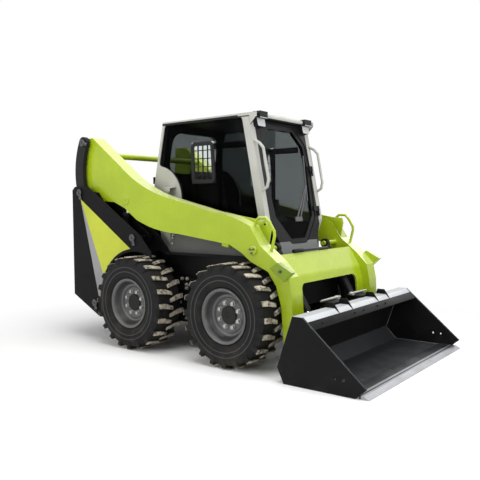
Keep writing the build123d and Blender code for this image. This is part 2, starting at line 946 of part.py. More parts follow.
# Lift cylinders: a barrel on the tower and a rod to the arm, on each side
lift_barrel_radius = 38
lift_rod_radius = 25
lift_base_eye = 48
lift_rod_eye = 44
lift_eye_half = 30
lift_bore_start = 90
lift_piston = 110
lift_gland_step = 12
lift_length = hypot(lift_rod_end[0] - lift_base[0], lift_rod_end[1] - lift_base[1])
lift_gland = lift_length - 130
lift_line = (lift_base, lift_rod_end, -lift_cylinder_y)
with BuildPart() as lift_barrels:
    rod(*lift_line, (lift_eye_half, lift_gland), lift_barrel_radius)
    rod(*lift_line, (lift_gland - 1, lift_gland + lift_gland_step), lift_barrel_radius - 4)
    bar(lift_base, -lift_cylinder_y - lift_eye_half, -lift_cylinder_y + lift_eye_half, lift_base_eye)
    bar(
        lift_base,
        -lift_cylinder_y - 2 * lift_eye_half,
        -lift_cylinder_y + 2 * lift_eye_half,
        small_pin_radius + pin_gap,
        Mode.SUBTRACT,
    )
    rod(*lift_line, (lift_bore_start, lift_length), lift_rod_radius + seat_gap, Mode.SUBTRACT)
    mirror(about=Plane.XZ)
save(lift_barrels, "lift_barrels")

with BuildPart() as lift_rods:
    rod(*lift_line, (lift_piston, lift_length), lift_rod_radius)
    bar(lift_rod_end, -lift_cylinder_y - lift_eye_half, -lift_cylinder_y + lift_eye_half, lift_rod_eye)
    bar(
        lift_rod_end,
        -arm_outer + arm_plate + eye_gap,
        -arm_inner - arm_plate - eye_gap,
        small_pin_radius,
    )
    mirror(about=Plane.XZ)
save(lift_rods, "lift_rods")

# Lift arms: a box of two side plates and flanges, open underneath at the back
leg_end = 45
arm_crest = (-1203, 1945)
arm_saddle = [(-820, 1665), (-530, 1476), (-180, 1352)]
arm_shoulder = [(330, 1232), (540, 1188), (694, 1125)]
arm_knee = [
    arm_shoulder[-1],
    (792, 976),
    (954, 850),
    (1060, 740),
    (1088, 600),
    (bucket_pivot[0] + leg_end, bucket_pivot[1]),
    (bucket_pivot[0] - leg_end, bucket_pivot[1]),
    (990, 517),
    (944, 670),
    (869, 775),
    (702, 845),
    (611, 912),
    (487, 973),
    (-87, 1046),
]
arm_belly = [arm_knee[-1], (-362, 1082), (-602, 1162)]
arm_heel = [
    arm_belly[-1],
    (-760, 1269),
    (-906, 1326),
    (-1050, 1333),
    (-1120, 1420),
    (-1310, 1430),
    (-1372, 1500),
    (-1345, 1940),
    arm_crest,
    arm_saddle[0],
]
with BuildSketch(side(-arm_inner)) as arm_side:
    with BuildLine():
        ThreePointArc(*arm_saddle)
        Line(arm_saddle[-1], arm_shoulder[0])
        ThreePointArc(*arm_shoulder)
        Polyline(*arm_knee)
        ThreePointArc(*arm_belly)
        Polyline(*arm_heel)
    make_face()

# The stretch of the arm's underside where the links and lift cylinders come out
arm_opening = [
    (-1400, 1300),
    (-1400, 1800),
    (-1300, 1800),
    (-560, 1330),
    (-330, 1200),
    (-330, 1000),
    (-760, 1000),
]
tilt_pin_reach = 40
pivot_pin_reach = 45
knee_bracket = [(918, 809), (988, 855), (1120, 786), (1041, 715)]
knee_bracket_width = 50
arm_handle_y = (arm_inner + arm_outer) / 2
arm_handle = [
    (690, 1112),
    (705, 1165),
    (735, 1190),
    (800, 1190),
    (832, 1160),
    (880, 1085),
    (884, 1050),
    (850, 920),
]
with BuildPart() as lift_arms:
    extrude(arm_side.sketch, amount=arm_width)
    with BuildSketch(side(-arm_inner - arm_plate)):
        add(arm_side.sketch_local)
        offset(amount=-arm_plate, kind=Kind.INTERSECTION, mode=Mode.REPLACE)
    extrude(amount=arm_width - 2 * arm_plate, mode=Mode.SUBTRACT)
    slab(arm_opening, -arm_outer + arm_plate, -arm_inner - arm_plate, Mode.SUBTRACT)
    bar(bucket_pivot, -arm_outer, -arm_inner, leg_end)
    bar(bucket_pivot, -arm_outer - pin_head, -arm_inner + pivot_pin_reach, small_pin_radius)
    bar(rear_link_top, -rear_link_outer - pin_head, -arm_outer, pin_radius)
    bar(rear_link_top, -rear_link_outer - pin_head, -rear_link_outer - eye_gap, pin_radius + pin_collar)
    bar(tilt_base, -arm_outer - pin_head, -arm_outer, small_pin_radius + pin_collar)
    bar(tilt_base, -arm_inner, -tilt_cylinder_y + tilt_pin_reach, small_pin_radius)
    bar(lift_rod_end, -arm_outer - pin_head / 2, -arm_outer, small_pin_radius + pin_collar)
    slab(knee_bracket, -arm_outer - knee_bracket_width, -arm_outer)
    bent_tube(arm_handle, -arm_handle_y, handle_radius)
    mirror(about=Plane.XZ)
save(lift_arms, "lift_arms")

# Rear cross tube and bent front cross member that tie the two arms together
cross_tube = (-1030, 1770)
cross_tube_radius = 29
with BuildPart() as arm_cross_tube:
    bar(cross_tube, -arm_inner, arm_inner, cross_tube_radius)
save(arm_cross_tube, "arm_cross_tube")

cross_plate = 14
cross_bend = 90
cross_path = [(872, 890), (975, 720), (1006, 600), (1022, 330)]
cross_window_half = 460
cross_window_top = 665
cross_window_corner = 60
cross_reach = 300
with BuildPart() as arm_cross_member:
    with BuildSketch(side(arm_inner)):
        with BuildLine():
            FilletPolyline(*cross_path, radius=cross_bend)
            offset(amount=cross_plate, side=Side.LEFT)
        make_face()
    extrude(amount=2 * arm_inner)
    with BuildSketch(Plane(origin=(mid + cross_path[0][0] + 28, 0, 0), x_dir=(0, 1, 0), z_dir=(1, 0, 0))):
        with Locations((0, cross_window_top / 2)):
            RectangleRounded(2 * cross_window_half, cross_window_top, cross_window_corner)
    extrude(amount=cross_reach, mode=Mode.SUBTRACT)
save(arm_cross_member, "arm_cross_member")

# Tilt cylinders: a barrel on the arm's knee and a rod to the quick attach, on each side
tilt_barrel_radius = 34
tilt_rod_radius = 18
tilt_base_eye = 40
tilt_rod_eye = 30
tilt_eye_half = 20
tilt_bore_start = 46
tilt_piston = 110
tilt_length = hypot(tilt_rod_end[0] - tilt_base[0], tilt_rod_end[1] - tilt_base[1])
tilt_gland = tilt_length - 120
tilt_line = (tilt_base, tilt_rod_end, -tilt_cylinder_y)
with BuildPart() as tilt_barrels:
    rod(*tilt_line, (tilt_rod_eye, tilt_gland), tilt_barrel_radius)
    bar(tilt_base, -tilt_cylinder_y - tilt_eye_half, -tilt_cylinder_y + tilt_eye_half, tilt_base_eye)
    bar(
        tilt_base,
        -tilt_cylinder_y - 3 * tilt_eye_half,
        -tilt_cylinder_y + 3 * tilt_eye_half,
        small_pin_radius + pin_gap,
        Mode.SUBTRACT,
    )
    rod(*tilt_line, (tilt_bore_start, tilt_length), tilt_rod_radius + seat_gap, Mode.SUBTRACT)
    mirror(about=Plane.XZ)
save(tilt_barrels, "tilt_barrels")

with BuildPart() as tilt_rods:
    rod(*tilt_line, (tilt_piston, tilt_length), tilt_rod_radius)
    bar(tilt_rod_end, -tilt_cylinder_y - tilt_eye_half, -tilt_cylinder_y + tilt_eye_half, tilt_rod_eye)
    mirror(about=Plane.XZ)
save(tilt_rods, "tilt_rods")

# Bucket: side plates with a bent shell between them
back_run = (bucket_lip_rear - bucket_heel[0]) / (bucket_top - bucket_heel[1])
bucket_side = [
    (bucket_lip_rear, bucket_top),
    (bucket_lip_front, bucket_top),
    (bucket_tip - pin_collar, bucket_nose),
    (bucket_tip - edge_depth / 2, 0),
    (bucket_side_rear, 0),
    bucket_heel,
]
with BuildPart() as bucket:
    slab(bucket_side, -bucket_half, -bucket_half + bucket_side_plate)
    slab(bucket_side, bucket_half - bucket_side_plate, bucket_half)
    with BuildSketch(side(bucket_half - bucket_side_plate)):
        with BuildLine():
            Polyline(
                (bucket_tip - edge_depth, 0),
                (bucket_floor_rear, 0),
                bucket_heel,
                (bucket_lip_rear, bucket_top),
                (bucket_lip_front, bucket_top),
            )
            offset(amount=bucket_shell, side=Side.RIGHT, kind=Kind.INTERSECTION)
        make_face()
    extrude(amount=2 * (bucket_half - bucket_side_plate))
    for hole in (-side_bolt_pitch / 2, side_bolt_pitch / 2):
        bolt_place = (bucket_tip - side_bolt_back + hole, side_bolt_z)
        bar(bolt_place, -bucket_half, bucket_half, side_bolt_radius, Mode.SUBTRACT)
save(bucket, "bucket")

with BuildPart() as cutting_edge:
    slab(
        [
            (bucket_tip - edge_depth, 0),
            (bucket_tip, 0),
            (bucket_tip - edge_bevel, edge_plate),
            (bucket_tip - edge_depth, edge_plate),
        ],
        -bucket_half + bucket_side_plate,
        bucket_half - bucket_side_plate,
    )
save(cutting_edge, "cutting_edge")

# Quick attach: the plate on the bucket's back, with ears for the pivots and tilt rods
attach_half = arm_inner - 20
attach_plate = 16
attach_height = 340
attach_middle = -190
attach_slot = 260
ear_plate = 12
pivot_ear_plate = 15
tilt_ear_foot = 70
tilt_ear_radius = 34
pivot_ear_foot = 60
pivot_ear_radius = 40
back_plane = Plane(
    origin=(mid + bucket_heel[0], 0, bucket_heel[1]),
    x_dir=(0, 1, 0),
    z_dir=tuple(Vector(-1, 0, back_run).normalized()),
)
back_up = (back_run / hypot(1, back_run), 1 / hypot(1, back_run))


def on_back(up, out):
    """The (x, z) point a distance up the bucket's back from its heel and a distance behind it."""
    return (
        bucket_heel[0] + back_up[0] * up - back_up[1] * out,
        bucket_heel[1] + back_up[1] * up + back_up[0] * out,
    )


def ear(pivot, half_foot, radius, y_right, y_left):
    """A plate that stands on the bucket's back and is rounded about a pivot."""
    rise = (pivot[0] - bucket_heel[0]) * back_up[0] + (pivot[1] - bucket_heel[1]) * back_up[1]
    reach = (bucket_heel[0] - pivot[0]) * back_up[1] + (pivot[1] - bucket_heel[1]) * back_up[0]
    slab(
        [
            on_back(rise - half_foot, attach_plate),
            on_back(rise + half_foot, attach_plate),
            on_back(rise + radius, reach),
            on_back(rise - radius, reach),
        ],
        y_right,
        y_left,
    )
    bar(pivot, y_right, y_left, radius)


ear_inner = tilt_eye_half + eye_gap
with BuildPart() as quick_attach:
    with BuildSketch(back_plane):
        with Locations((0, attach_middle)):
            Rectangle(2 * attach_half, attach_height)
            with Locations((-tilt_cylinder_y, 0), (tilt_cylinder_y, 0)):
                Rectangle(2 * ear_inner, attach_slot, mode=Mode.SUBTRACT)
    extrude(amount=attach_plate)
    for middle in (-tilt_cylinder_y, tilt_cylinder_y):
        for inner in (middle - ear_inner - ear_plate, middle + ear_inner):
            ear(tilt_rod_end, tilt_ear_foot, tilt_ear_radius, inner, inner + ear_plate)
    for edge in (-attach_half, attach_half - pivot_ear_plate):
        ear(bucket_pivot, pivot_ear_foot, pivot_ear_radius, edge, edge + pivot_ear_plate)
        bar(bucket_pivot, edge - 1, edge + pivot_ear_plate + 1, small_pin_radius + pin_gap, Mode.SUBTRACT)
save(quick_attach, "quick_attach")

# Tailgate: hinged on the operator's left, with a louvred panel and knuckles on the hood's edge
gate_plate = 30
gate_low = bumper_top + 10
gate_high = hood_rear_top - 110
louvre_count = 8
louvre_pitch = 56
louvre_slot = (640, 24)
louvre_depth = 14
hinge_leaf = 6
with BuildPart() as rear_door:
    block((gate_hinge_x, gate_hinge_x + gate_plate), (-gate_half, gate_half), (gate_low, gate_high))
    with BuildSketch(Plane(
        origin=(mid + gate_hinge_x, 0, (gate_low + gate_high) / 2),
        x_dir=(0, 1, 0),
        z_dir=(1, 0, 0),
    )):
        with GridLocations(1, louvre_pitch, 1, louvre_count):
            Rectangle(*louvre_slot)
    extrude(amount=louvre_depth, mode=Mode.SUBTRACT)
    for height in gate_hinge_heights:
        top = height + gate_hinge_length
        block((gate_hinge_x, gate_hinge_x + hinge_leaf), (gate_half, gate_hinge_y), (height, top))
        post(gate_hinge_x, gate_hinge_y, height, top, gate_hinge_radius)
save(rear_door, "rear_door")

# Tail lamps on the towers' rear plates
tail_lamp_z = 1230
tail_lamp_y = (tower_outer + case_half) / 2
tail_lamp_size = (120, 70)
tail_lamp_corner = 14
tail_lamp_depth = 14
with BuildPart() as tail_lamps:
    with BuildSketch(Plane(origin=(mid + tower_rear, 0, tail_lamp_z), x_dir=(0, 1, 0), z_dir=(-1, 0, 0))):
        with Locations((-tail_lamp_y, 0), (tail_lamp_y, 0)):
            RectangleRounded(*tail_lamp_size, tail_lamp_corner)
    extrude(amount=tail_lamp_depth)
save(tail_lamps, "tail_lamps")
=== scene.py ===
from math import cos, pi, radians, sin, tau

import bpy
from mathutils import Matrix, Vector


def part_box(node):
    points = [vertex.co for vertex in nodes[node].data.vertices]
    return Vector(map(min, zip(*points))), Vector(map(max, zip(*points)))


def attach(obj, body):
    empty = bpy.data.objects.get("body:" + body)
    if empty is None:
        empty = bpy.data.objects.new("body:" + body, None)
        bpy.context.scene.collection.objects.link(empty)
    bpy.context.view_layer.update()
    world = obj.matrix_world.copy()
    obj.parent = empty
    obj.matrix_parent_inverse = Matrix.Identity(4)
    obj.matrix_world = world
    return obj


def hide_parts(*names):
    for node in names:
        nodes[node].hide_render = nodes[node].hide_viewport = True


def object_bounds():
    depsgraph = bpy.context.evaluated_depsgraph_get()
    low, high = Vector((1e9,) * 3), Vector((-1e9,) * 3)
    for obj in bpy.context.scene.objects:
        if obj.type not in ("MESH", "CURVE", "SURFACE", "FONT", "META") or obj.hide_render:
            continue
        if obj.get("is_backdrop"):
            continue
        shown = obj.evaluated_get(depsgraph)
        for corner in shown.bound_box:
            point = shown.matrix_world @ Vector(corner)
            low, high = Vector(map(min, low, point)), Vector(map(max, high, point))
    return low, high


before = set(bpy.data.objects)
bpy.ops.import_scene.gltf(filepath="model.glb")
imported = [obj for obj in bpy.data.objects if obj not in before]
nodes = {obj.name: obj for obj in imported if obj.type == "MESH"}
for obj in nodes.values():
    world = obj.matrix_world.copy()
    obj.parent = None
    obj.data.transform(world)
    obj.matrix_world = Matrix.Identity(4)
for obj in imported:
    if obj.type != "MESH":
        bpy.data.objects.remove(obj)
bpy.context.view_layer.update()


# Studio: a pale floor that runs out into a white surround, one wide soft lamp overhead and weaker
# ones at the front and the sides. The camera stands off the right front corner, at chest height.
floor_half = 30.0
floor_drop = 0.001
fade_start = 1.7
fade_end = 3.6
surround_fill = 0.35
white = (1, 1, 1, 1)
camera_place = Vector((3.374, -4.520, 1.294))
camera_azimuth = 37.88
camera_down = 3.337
camera_roll = -0.359
camera_lens = 45.51
lamps = (
    ("overhead", (0.6, -0.6, 5.2), (0.2, 0.0, 0.6), 4.5, 205.0),
    ("front_fill", (5.5, -1.5, 3.2), (0.3, 0.0, 0.7), 3.5, 128.0),
    ("right_fill", (-2.2, -6.0, 3.0), (-0.3, 0.0, 0.8), 3.5, 112.0),
    ("left_fill", (0.0, 6.0, 3.5), (0.0, 0.0, 0.8), 3.5, 70.0),
)


def feed(tree, socket, value):
    """Sets an input, or links it where the value is another node's output."""
    if isinstance(value, bpy.types.NodeSocket):
        tree.links.new(value, socket)
    else:
        socket.default_value = value


def wire(tree, node, **inputs):
    """Sets or links a node's inputs by name."""
    for key, value in inputs.items():
        feed(tree, node.inputs[key.replace("_", " ")], value)
    return node


def put(tree, kind, settings=None, **inputs):
    """Adds a node, with its settings, and sets or links its inputs by name."""
    node = tree.nodes.new(kind)
    for key, value in (settings or {}).items():
        setattr(node, key, value)
    return wire(tree, node, **inputs)


def plain(tree, operation, *values):
    """A Math node on values or sockets."""
    node = put(tree, "ShaderNodeMath", {"operation": operation})
    for socket, value in zip(node.inputs, values):
        feed(tree, socket, value)
    return node.outputs[0]


def sums(tree, operation, *values):
    """A Math node for masks, whose result is clamped to 0 and 1."""
    result = plain(tree, operation, *values)
    result.node.use_clamp = True
    return result


def ramp(tree, value, low, high):
    """A smooth step of a value from 0 at low to 1 at high."""
    smooth = {"interpolation_type": "SMOOTHSTEP"}
    step = put(tree, "ShaderNodeMapRange", smooth, Value=value, From_Min=low, From_Max=high)
    return step.outputs["Result"]


def object_place(tree):
    """The place on the piece, in the frame that all pieces share."""
    return put(tree, "ShaderNodeTexCoord").outputs["Object"]


def new_material(name):
    """A new material, with its node tree and its shader."""
    material = bpy.data.materials.new(name)
    material.use_nodes = True
    return material, material.node_tree, material.node_tree.nodes["Principled BSDF"]


bpy.ops.object.select_all(action="DESELECT")
bpy.ops.mesh.primitive_plane_add(size=2 * floor_half, location=(0, 0, -floor_drop))
floor = bpy.context.object
floor.name = "studio_floor"
floor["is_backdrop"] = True
floor_paint, tree, matt = new_material("studio_floor")
wire(tree, matt, Base_Color=(0.97, 0.97, 0.97, 1), Roughness=0.9, Specular_IOR_Level=0.1)
reach = put(tree, "ShaderNodeVectorMath", {"operation": "LENGTH"}, Vector=object_place(tree))
away = ramp(tree, reach.outputs["Value"], fade_start, fade_end)
glow = put(tree, "ShaderNodeEmission", Color=white, Strength=1.0)
blend = put(tree, "ShaderNodeMixShader", Fac=away)
tree.links.new(matt.outputs[0], blend.inputs[1])
tree.links.new(glow.outputs[0], blend.inputs[2])
tree.links.new(blend.outputs[0], tree.nodes["Material Output"].inputs["Surface"])
floor.data.materials.append(floor_paint)

scene = bpy.context.scene
scene.view_settings.view_transform = "Standard"
world = bpy.data.worlds.new("studio")
scene.world = world
world.use_nodes = True
tree = world.node_tree
ray = put(tree, "ShaderNodeLightPath").outputs
seen = sums(tree, "ADD", ray["Is Camera Ray"], ray["Is Glossy Ray"])
seen = sums(tree, "ADD", seen, ray["Is Transmission Ray"])
strength = sums(tree, "MULTIPLY_ADD", seen, 1 - surround_fill, surround_fill)
wire(tree, tree.nodes["Background"], Color=white, Strength=strength)

for name, stand, target, width, power in lamps:
    light = bpy.data.lights.new(name, "AREA")
    light.shape = "DISK"
    light.size = width
    light.energy = power
    lamp = bpy.data.objects.new(name, light)
    lamp.location = stand
    lamp.rotation_euler = (Vector(target) - Vector(stand)).to_track_quat("-Z", "Y").to_euler()
    scene.collection.objects.link(lamp)

camera = bpy.data.objects.new("camera", bpy.data.cameras.new("camera"))
camera.data.lens = camera_lens
turn = Matrix.Rotation(radians(camera_azimuth), 4, "Z")
tip = Matrix.Rotation(radians(90 - camera_down), 4, "X")
roll = Matrix.Rotation(radians(camera_roll), 4, "Z")
camera.matrix_world = Matrix.Translation(camera_place) @ turn @ tip @ roll
scene.collection.objects.link(camera)
scene.camera = camera


# Chassis and running gear: two welded drive cases joined by a belly plate, bolted axle housings
# and the plain engine behind the cab. Satin black paint over steel, dusty near the ground, with
# the bolts of the chain covers on the outside of the cases.
def new_group(name, inputs, outputs):
    """An empty shader node group with its sockets, and its own input and output nodes."""
    tree = bpy.data.node_groups.new(name, "ShaderNodeTree")
    for label, value in inputs:
        socket = tree.interface.new_socket(label, in_out="INPUT", socket_type="NodeSocketFloat")
        socket.default_value = value
    for label in outputs:
        tree.interface.new_socket(label, in_out="OUTPUT", socket_type="NodeSocketFloat")
    return tree, tree.nodes.new("NodeGroupInput").outputs, tree.nodes.new("NodeGroupOutput").inputs


def noise(tree, **inputs):
    """Noise over the piece."""
    return put(tree, "ShaderNodeTexNoise", Vector=object_place(tree), **inputs).outputs["Fac"]


def every(tree, *masks):
    """Where all of several masks hold."""
    result = masks[0]
    for mask in masks[1:]:
        result = sums(tree, "MULTIPLY", result, mask)
    return result


def spot(tree):
    """The three coordinates of the place on the piece."""
    return put(tree, "ShaderNodeSeparateXYZ", Vector=object_place(tree)).outputs


def facing(tree, kind="True Normal"):
    """The three parts of the direction in which a face looks."""
    normal = put(tree, "ShaderNodeNewGeometry").outputs[kind]
    return put(tree, "ShaderNodeSeparateXYZ", Vector=normal).outputs


def mixed(tree, factor, first, second):
    """A colour between two, by a factor."""
    node = put(tree, "ShaderNodeMix", {"data_type": "RGBA"})
    for index, value in ((0, factor), (6, first), (7, second)):
        feed(tree, node.inputs[index], value)
    return node.outputs[2]


# Where paint is rubbed off: along edges, broken up by noise.
edge_look = {"samples": 4}
chip_inputs = (("Radius", 0.004), ("Break", 45.0), ("Amount", 0.5))
edge_chips, given, out = new_group("edge_chips", chip_inputs, ("Mask",))
rounded = put(edge_chips, "ShaderNodeBevel", edge_look, Radius=given["Radius"])
flat = put(edge_chips, "ShaderNodeNewGeometry")
alike = put(edge_chips, "ShaderNodeVectorMath", {"operation": "DOT_PRODUCT"})
feed(edge_chips, alike.inputs[0], rounded.outputs["Normal"])
feed(edge_chips, alike.inputs[1], flat.outputs["Normal"])
near_edge = ramp(edge_chips, sums(edge_chips, "SUBTRACT", 1.0, alike.outputs["Value"]), 0.03, 0.22)
broken = ramp(edge_chips, noise(edge_chips, Scale=given["Break"], Detail=5.0), 0.5, 0.66)
feed(edge_chips, out["Mask"], every(edge_chips, near_edge, broken, given["Amount"]))

# Dry soil: thick near the ground, and thin on faces that look up.
dust_inputs = (("Height", 0.7), ("Amount", 0.5), ("Ledges", 0.2))
ground_dust, given, out = new_group("ground_dust", dust_inputs, ("Mask",))
share = plain(ground_dust, "DIVIDE", spot(ground_dust)["Z"], given["Height"])
low = sums(ground_dust, "SUBTRACT", 1.0, share)
patches = ramp(ground_dust, noise(ground_dust, Scale=7.0, Detail=8.0, Roughness=0.65), 0.42, 0.72)
splash = every(ground_dust, low, patches, given["Amount"])
upward = ramp(ground_dust, facing(ground_dust, "Normal")["Z"], 0.5, 1.0)
ledge = every(ground_dust, upward, patches, given["Ledges"])
feed(ground_dust, out["Mask"], sums(ground_dust, "ADD", splash, ledge))

# The skin of sprayed paint: fine orange peel and slow changes of shade.
paint_skin, given, out = new_group("paint_skin", (("Grain", 420.0),), ("Height", "Shade"))
feed(paint_skin, out["Height"], noise(paint_skin, Scale=given["Grain"], Detail=3.0))
drift = noise(paint_skin, Scale=3.5, Detail=6.0, Roughness=0.6)
feed(paint_skin, out["Shade"], ramp(paint_skin, drift, 0.3, 0.7))

soil = (0.2, 0.165, 0.12, 1)
faded = 0.88
shade_roughness = 0.1
dust_roughness = 0.4
peel_depth = 0.001


def grey(level):
    """An even grey."""
    return (level, level, level)


def placed(tree, group, **inputs):
    """Places a node group in a material and sets its inputs."""
    return put(tree, "ShaderNodeGroup", {"node_tree": group}, **inputs).outputs


def painted(name, colour, under, gloss, dust=(0.6, 0.16, 0.05), chips=(0.004, 0.3), grain=(420.0, 0.12),
            layers=(), shine=0.14, metal=0.0):
    """Sprayed paint over metal, with dust, rubbed edges and orange peel. Each layer is a further
    colour with a function that builds the mask of where it lies."""
    material, tree, shader = new_material(name)
    skin = placed(tree, paint_skin, Grain=grain[0])
    dusty = placed(tree, ground_dust, Height=dust[0], Amount=dust[1], Ledges=dust[2])["Mask"]
    rubbed = placed(tree, edge_chips, Radius=chips[0], Amount=chips[1])["Mask"]
    shade = mixed(tree, skin["Shade"], colour + (1,), tuple(faded * part for part in colour) + (1,))
    for layer, mask in layers:
        shade = mixed(tree, mask(tree), shade, layer + (1,))
    shade = mixed(tree, rubbed, shade, under + (1,))
    rough = sums(tree, "MULTIPLY_ADD", skin["Shade"], shade_roughness, gloss)
    rough = sums(tree, "MULTIPLY_ADD", dusty, dust_roughness, rough)
    edge = put(tree, "ShaderNodeBevel", edge_look, Radius=chips[0] * 0.75).outputs["Normal"]
    bump = put(tree, "ShaderNodeBump", Strength=grain[1], Distance=peel_depth, Height=skin["Height"],
               Normal=edge)
    wire(tree, shader, Base_Color=mixed(tree, dusty, shade, soil), Roughness=rough, Metallic=metal,
         Specular_IOR_Level=shine, Normal=bump.outputs["Normal"])
    return material


def finish_nodes(material, *names):
    """Gives CAD nodes their finish."""
    for name in names:
        mesh = nodes[name].data
        mesh.materials.clear()
        mesh.materials.append(material)


def only(piece):
    """Leaves one piece selected and active."""
    bpy.ops.object.select_all(action="DESELECT")
    piece.select_set(True)
    bpy.context.view_layer.objects.active = piece


def named(name):
    """Names the piece that was just added."""
    piece = bpy.context.object
    piece.name = name
    piece.data.name = name
    return piece


def modify(piece, kind, **settings):
    """Adds a modifier to a piece and applies it."""
    only(piece)
    modifier = piece.modifiers.new(kind.lower(), kind)
    for key, value in settings.items():
        setattr(modifier, key, value)
    bpy.ops.object.modifier_apply(modifier=modifier.name)


sharp_from = radians(40)
smooth_to = radians(35)


def soften(piece, width):
    """Rounds a piece's sharp edges and shades it smooth between them."""
    modify(piece, "BEVEL", width=width, segments=2, limit_method="ANGLE", angle_limit=sharp_from)
    bpy.ops.object.shade_smooth_by_angle(angle=smooth_to)
    return piece


def join(pieces):
    """Joins pieces into the first of them."""
    only(pieces[0])
    for piece in pieces:
        piece.select_set(True)
    bpy.ops.object.join()
    return pieces[0]


def applied(piece):
    """Puts a piece's place, turn and size into its mesh."""
    only(piece)
    bpy.ops.object.transform_apply(location=True, rotation=True, scale=True)
    return piece


def both_sides(piece):
    """Adds a piece's mirror image on the machine's left."""
    modify(applied(piece), "MIRROR", use_axis=(False, True, False), use_mirror_merge=False)
    return piece


def settle(piece, material, body):
    """Leaves a piece at the origin with its place in its mesh, finished and riding on its body."""
    applied(piece)
    piece.data.materials.clear()
    piece.data.materials.append(material)
    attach(piece, body)


def bolt(name, place, across, along=(0, -1, 0)):
    """A hexagon head on a round washer that stands on a place and looks along a direction."""
    way = Vector(along)
    turn = way.to_track_quat("Z", "Y").to_euler()
    washer = 0.14 * across
    washer_radius = 0.68 * across
    head = 0.6 * across
    head_radius = across / 2 / cos(pi / 6)
    only(nodes["chassis"])
    bpy.ops.mesh.primitive_cylinder_add(vertices=20, radius=washer_radius, depth=washer,
                                        location=Vector(place) + way * washer / 2, rotation=turn)
    piece = named(name)
    bpy.ops.object.mode_set(mode="EDIT")
    bpy.ops.mesh.primitive_cylinder_add(vertices=6, radius=head_radius, depth=head,
                                        location=Vector(place) + way * (washer + head / 2), rotation=turn)
    bpy.ops.object.mode_set(mode="OBJECT")
    return soften(piece, width=0.06 * across)


black_paint = painted("black_paint", (0.007, 0.007, 0.0075), (0.07, 0.066, 0.06), 0.42, shine=0.08)
axle_iron = painted("axle_iron", (0.03, 0.029, 0.028), (0.1, 0.085, 0.07), 0.6, dust=(0.8, 0.3, 0.12))
zinc = painted("bolt_zinc", (0.42, 0.41, 0.38), (0.6, 0.58, 0.52), 0.3, chips=(0.001, 0.3), shine=0.5,
               metal=0.7)
finish_nodes(black_paint, "chassis", "engine_block")
finish_nodes(axle_iron, "axle_stubs")

# Distances along the machine are counted from the middle of the wheelbase, as in the CAD.
axle_low, axle_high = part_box("tyre_rear_right")[0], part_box("tyre_front_right")[1]
wheel_middle = (axle_low.x + axle_high.x) / 2
case_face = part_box("chassis")[0].y
case_bolt = 0.024
case_bolts = (
    (-0.195, 0.633), (-0.133, 0.636), (-0.141, 0.583),
    (-0.141, 0.551), (-0.221, 0.417), (-0.145, 0.282),
)
heads = [bolt("case_bolts", (wheel_middle + x, case_face, z), case_bolt) for x, z in case_bolts]
settle(both_sides(join(heads)), zinc, "frame")


# Wheels: pressed steel rims in grey paint with a dished disc, eight zinc nuts and a dark hub cap,
# and chunky tyres of black rubber whose two rows of lugs are staggered and dusty on top.
tyre_low, tyre_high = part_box("tyre_front_right")
rim_low, rim_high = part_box("rim_front_right")
tyre_half = (tyre_high.y - tyre_low.y) / 2
hub_height = (rim_low.z + rim_high.z) / 2
half_wheelbase = (axle_high.x - axle_low.x) / 2 - hub_height
tread_radius = hub_height - 0.027
rim_radius = (rim_high.z - rim_low.z) / 2
tyre_steps = 80
lug_count = 20
lug_outline = (
    (0.1475, -0.031), (0.075, -0.026), (-0.018, 0.004),
    (-0.018, 0.037), (0.084, 0.017), (0.1475, 0.011),
)
lug_root = 0.345
lug_top = hub_height - 0.0012
lug_edge = 0.005
bead_half = tyre_half - 0.027
tyre_profile = (
    (bead_half - 0.008, rim_radius - 0.013), (bead_half, rim_radius + 0.006), (0.139, rim_radius + 0.018),
    (0.1485, 0.262), (0.1505, 0.274), (0.1523, 0.279), (0.1523, 0.291), (0.1505, 0.296),
    (0.152, 0.311), (0.1548, 0.317), (0.1548, 0.329), (0.1515, 0.336), (0.1465, 0.354), (0.1395, 0.376),
    (0.128, tread_radius - 0.001), (0.09, tread_radius + 0.003),
)
disc_face = 0.0525
disc_back = disc_face - 0.012
hub_face = disc_face + 0.0135
hub_radius = 0.074
flange = tyre_half - 0.015
rim_steps = 64
rim_profile = (
    (-flange, rim_radius), (-flange + 0.012, rim_radius), (-flange + 0.013, 0.208), (0.06, 0.2055),
    (flange - 0.013, 0.2055), (flange - 0.012, rim_radius), (flange - 0.004, rim_radius + 0.0005),
    (flange, rim_radius - 0.004), (flange - 0.003, 0.206), (flange - 0.012, 0.197),
    (disc_face + 0.045, 0.187), (disc_face + 0.024, 0.176), (disc_face + 0.014, 0.166),
    (disc_face + 0.011, 0.152), (disc_face + 0.002, 0.14), (disc_face, 0.132), (disc_face, 0.07),
    (disc_back, 0.07), (disc_back, 0.165), (-flange + 0.01, 0.194),
)
nut_ring = 0.1015
nut_count = 8
nut_across = 0.03

# A closed profile starts and ends this near its axis, so that merging near points shuts the pole.
pole = 0.0001
merge_within = 0.0002
round_to = radians(32)


def face_out():
    """Turns the faces of the piece in edit mode outwards and leaves edit mode."""
    bpy.ops.mesh.select_all(action="SELECT")
    bpy.ops.mesh.normals_make_consistent(inside=False)
    bpy.ops.object.mode_set(mode="OBJECT")


def shaped_circle(name, points, fill):
    """A circle whose points are moved to given places, left in edit mode and selected all over."""
    only(nodes["chassis"])
    bpy.ops.mesh.primitive_circle_add(vertices=len(points), radius=1, fill_type=fill)
    piece = named(name)
    for vertex, point in zip(piece.data.vertices, points):
        vertex.co = point
    bpy.ops.object.mode_set(mode="EDIT")
    bpy.ops.mesh.select_all(action="SELECT")
    return piece


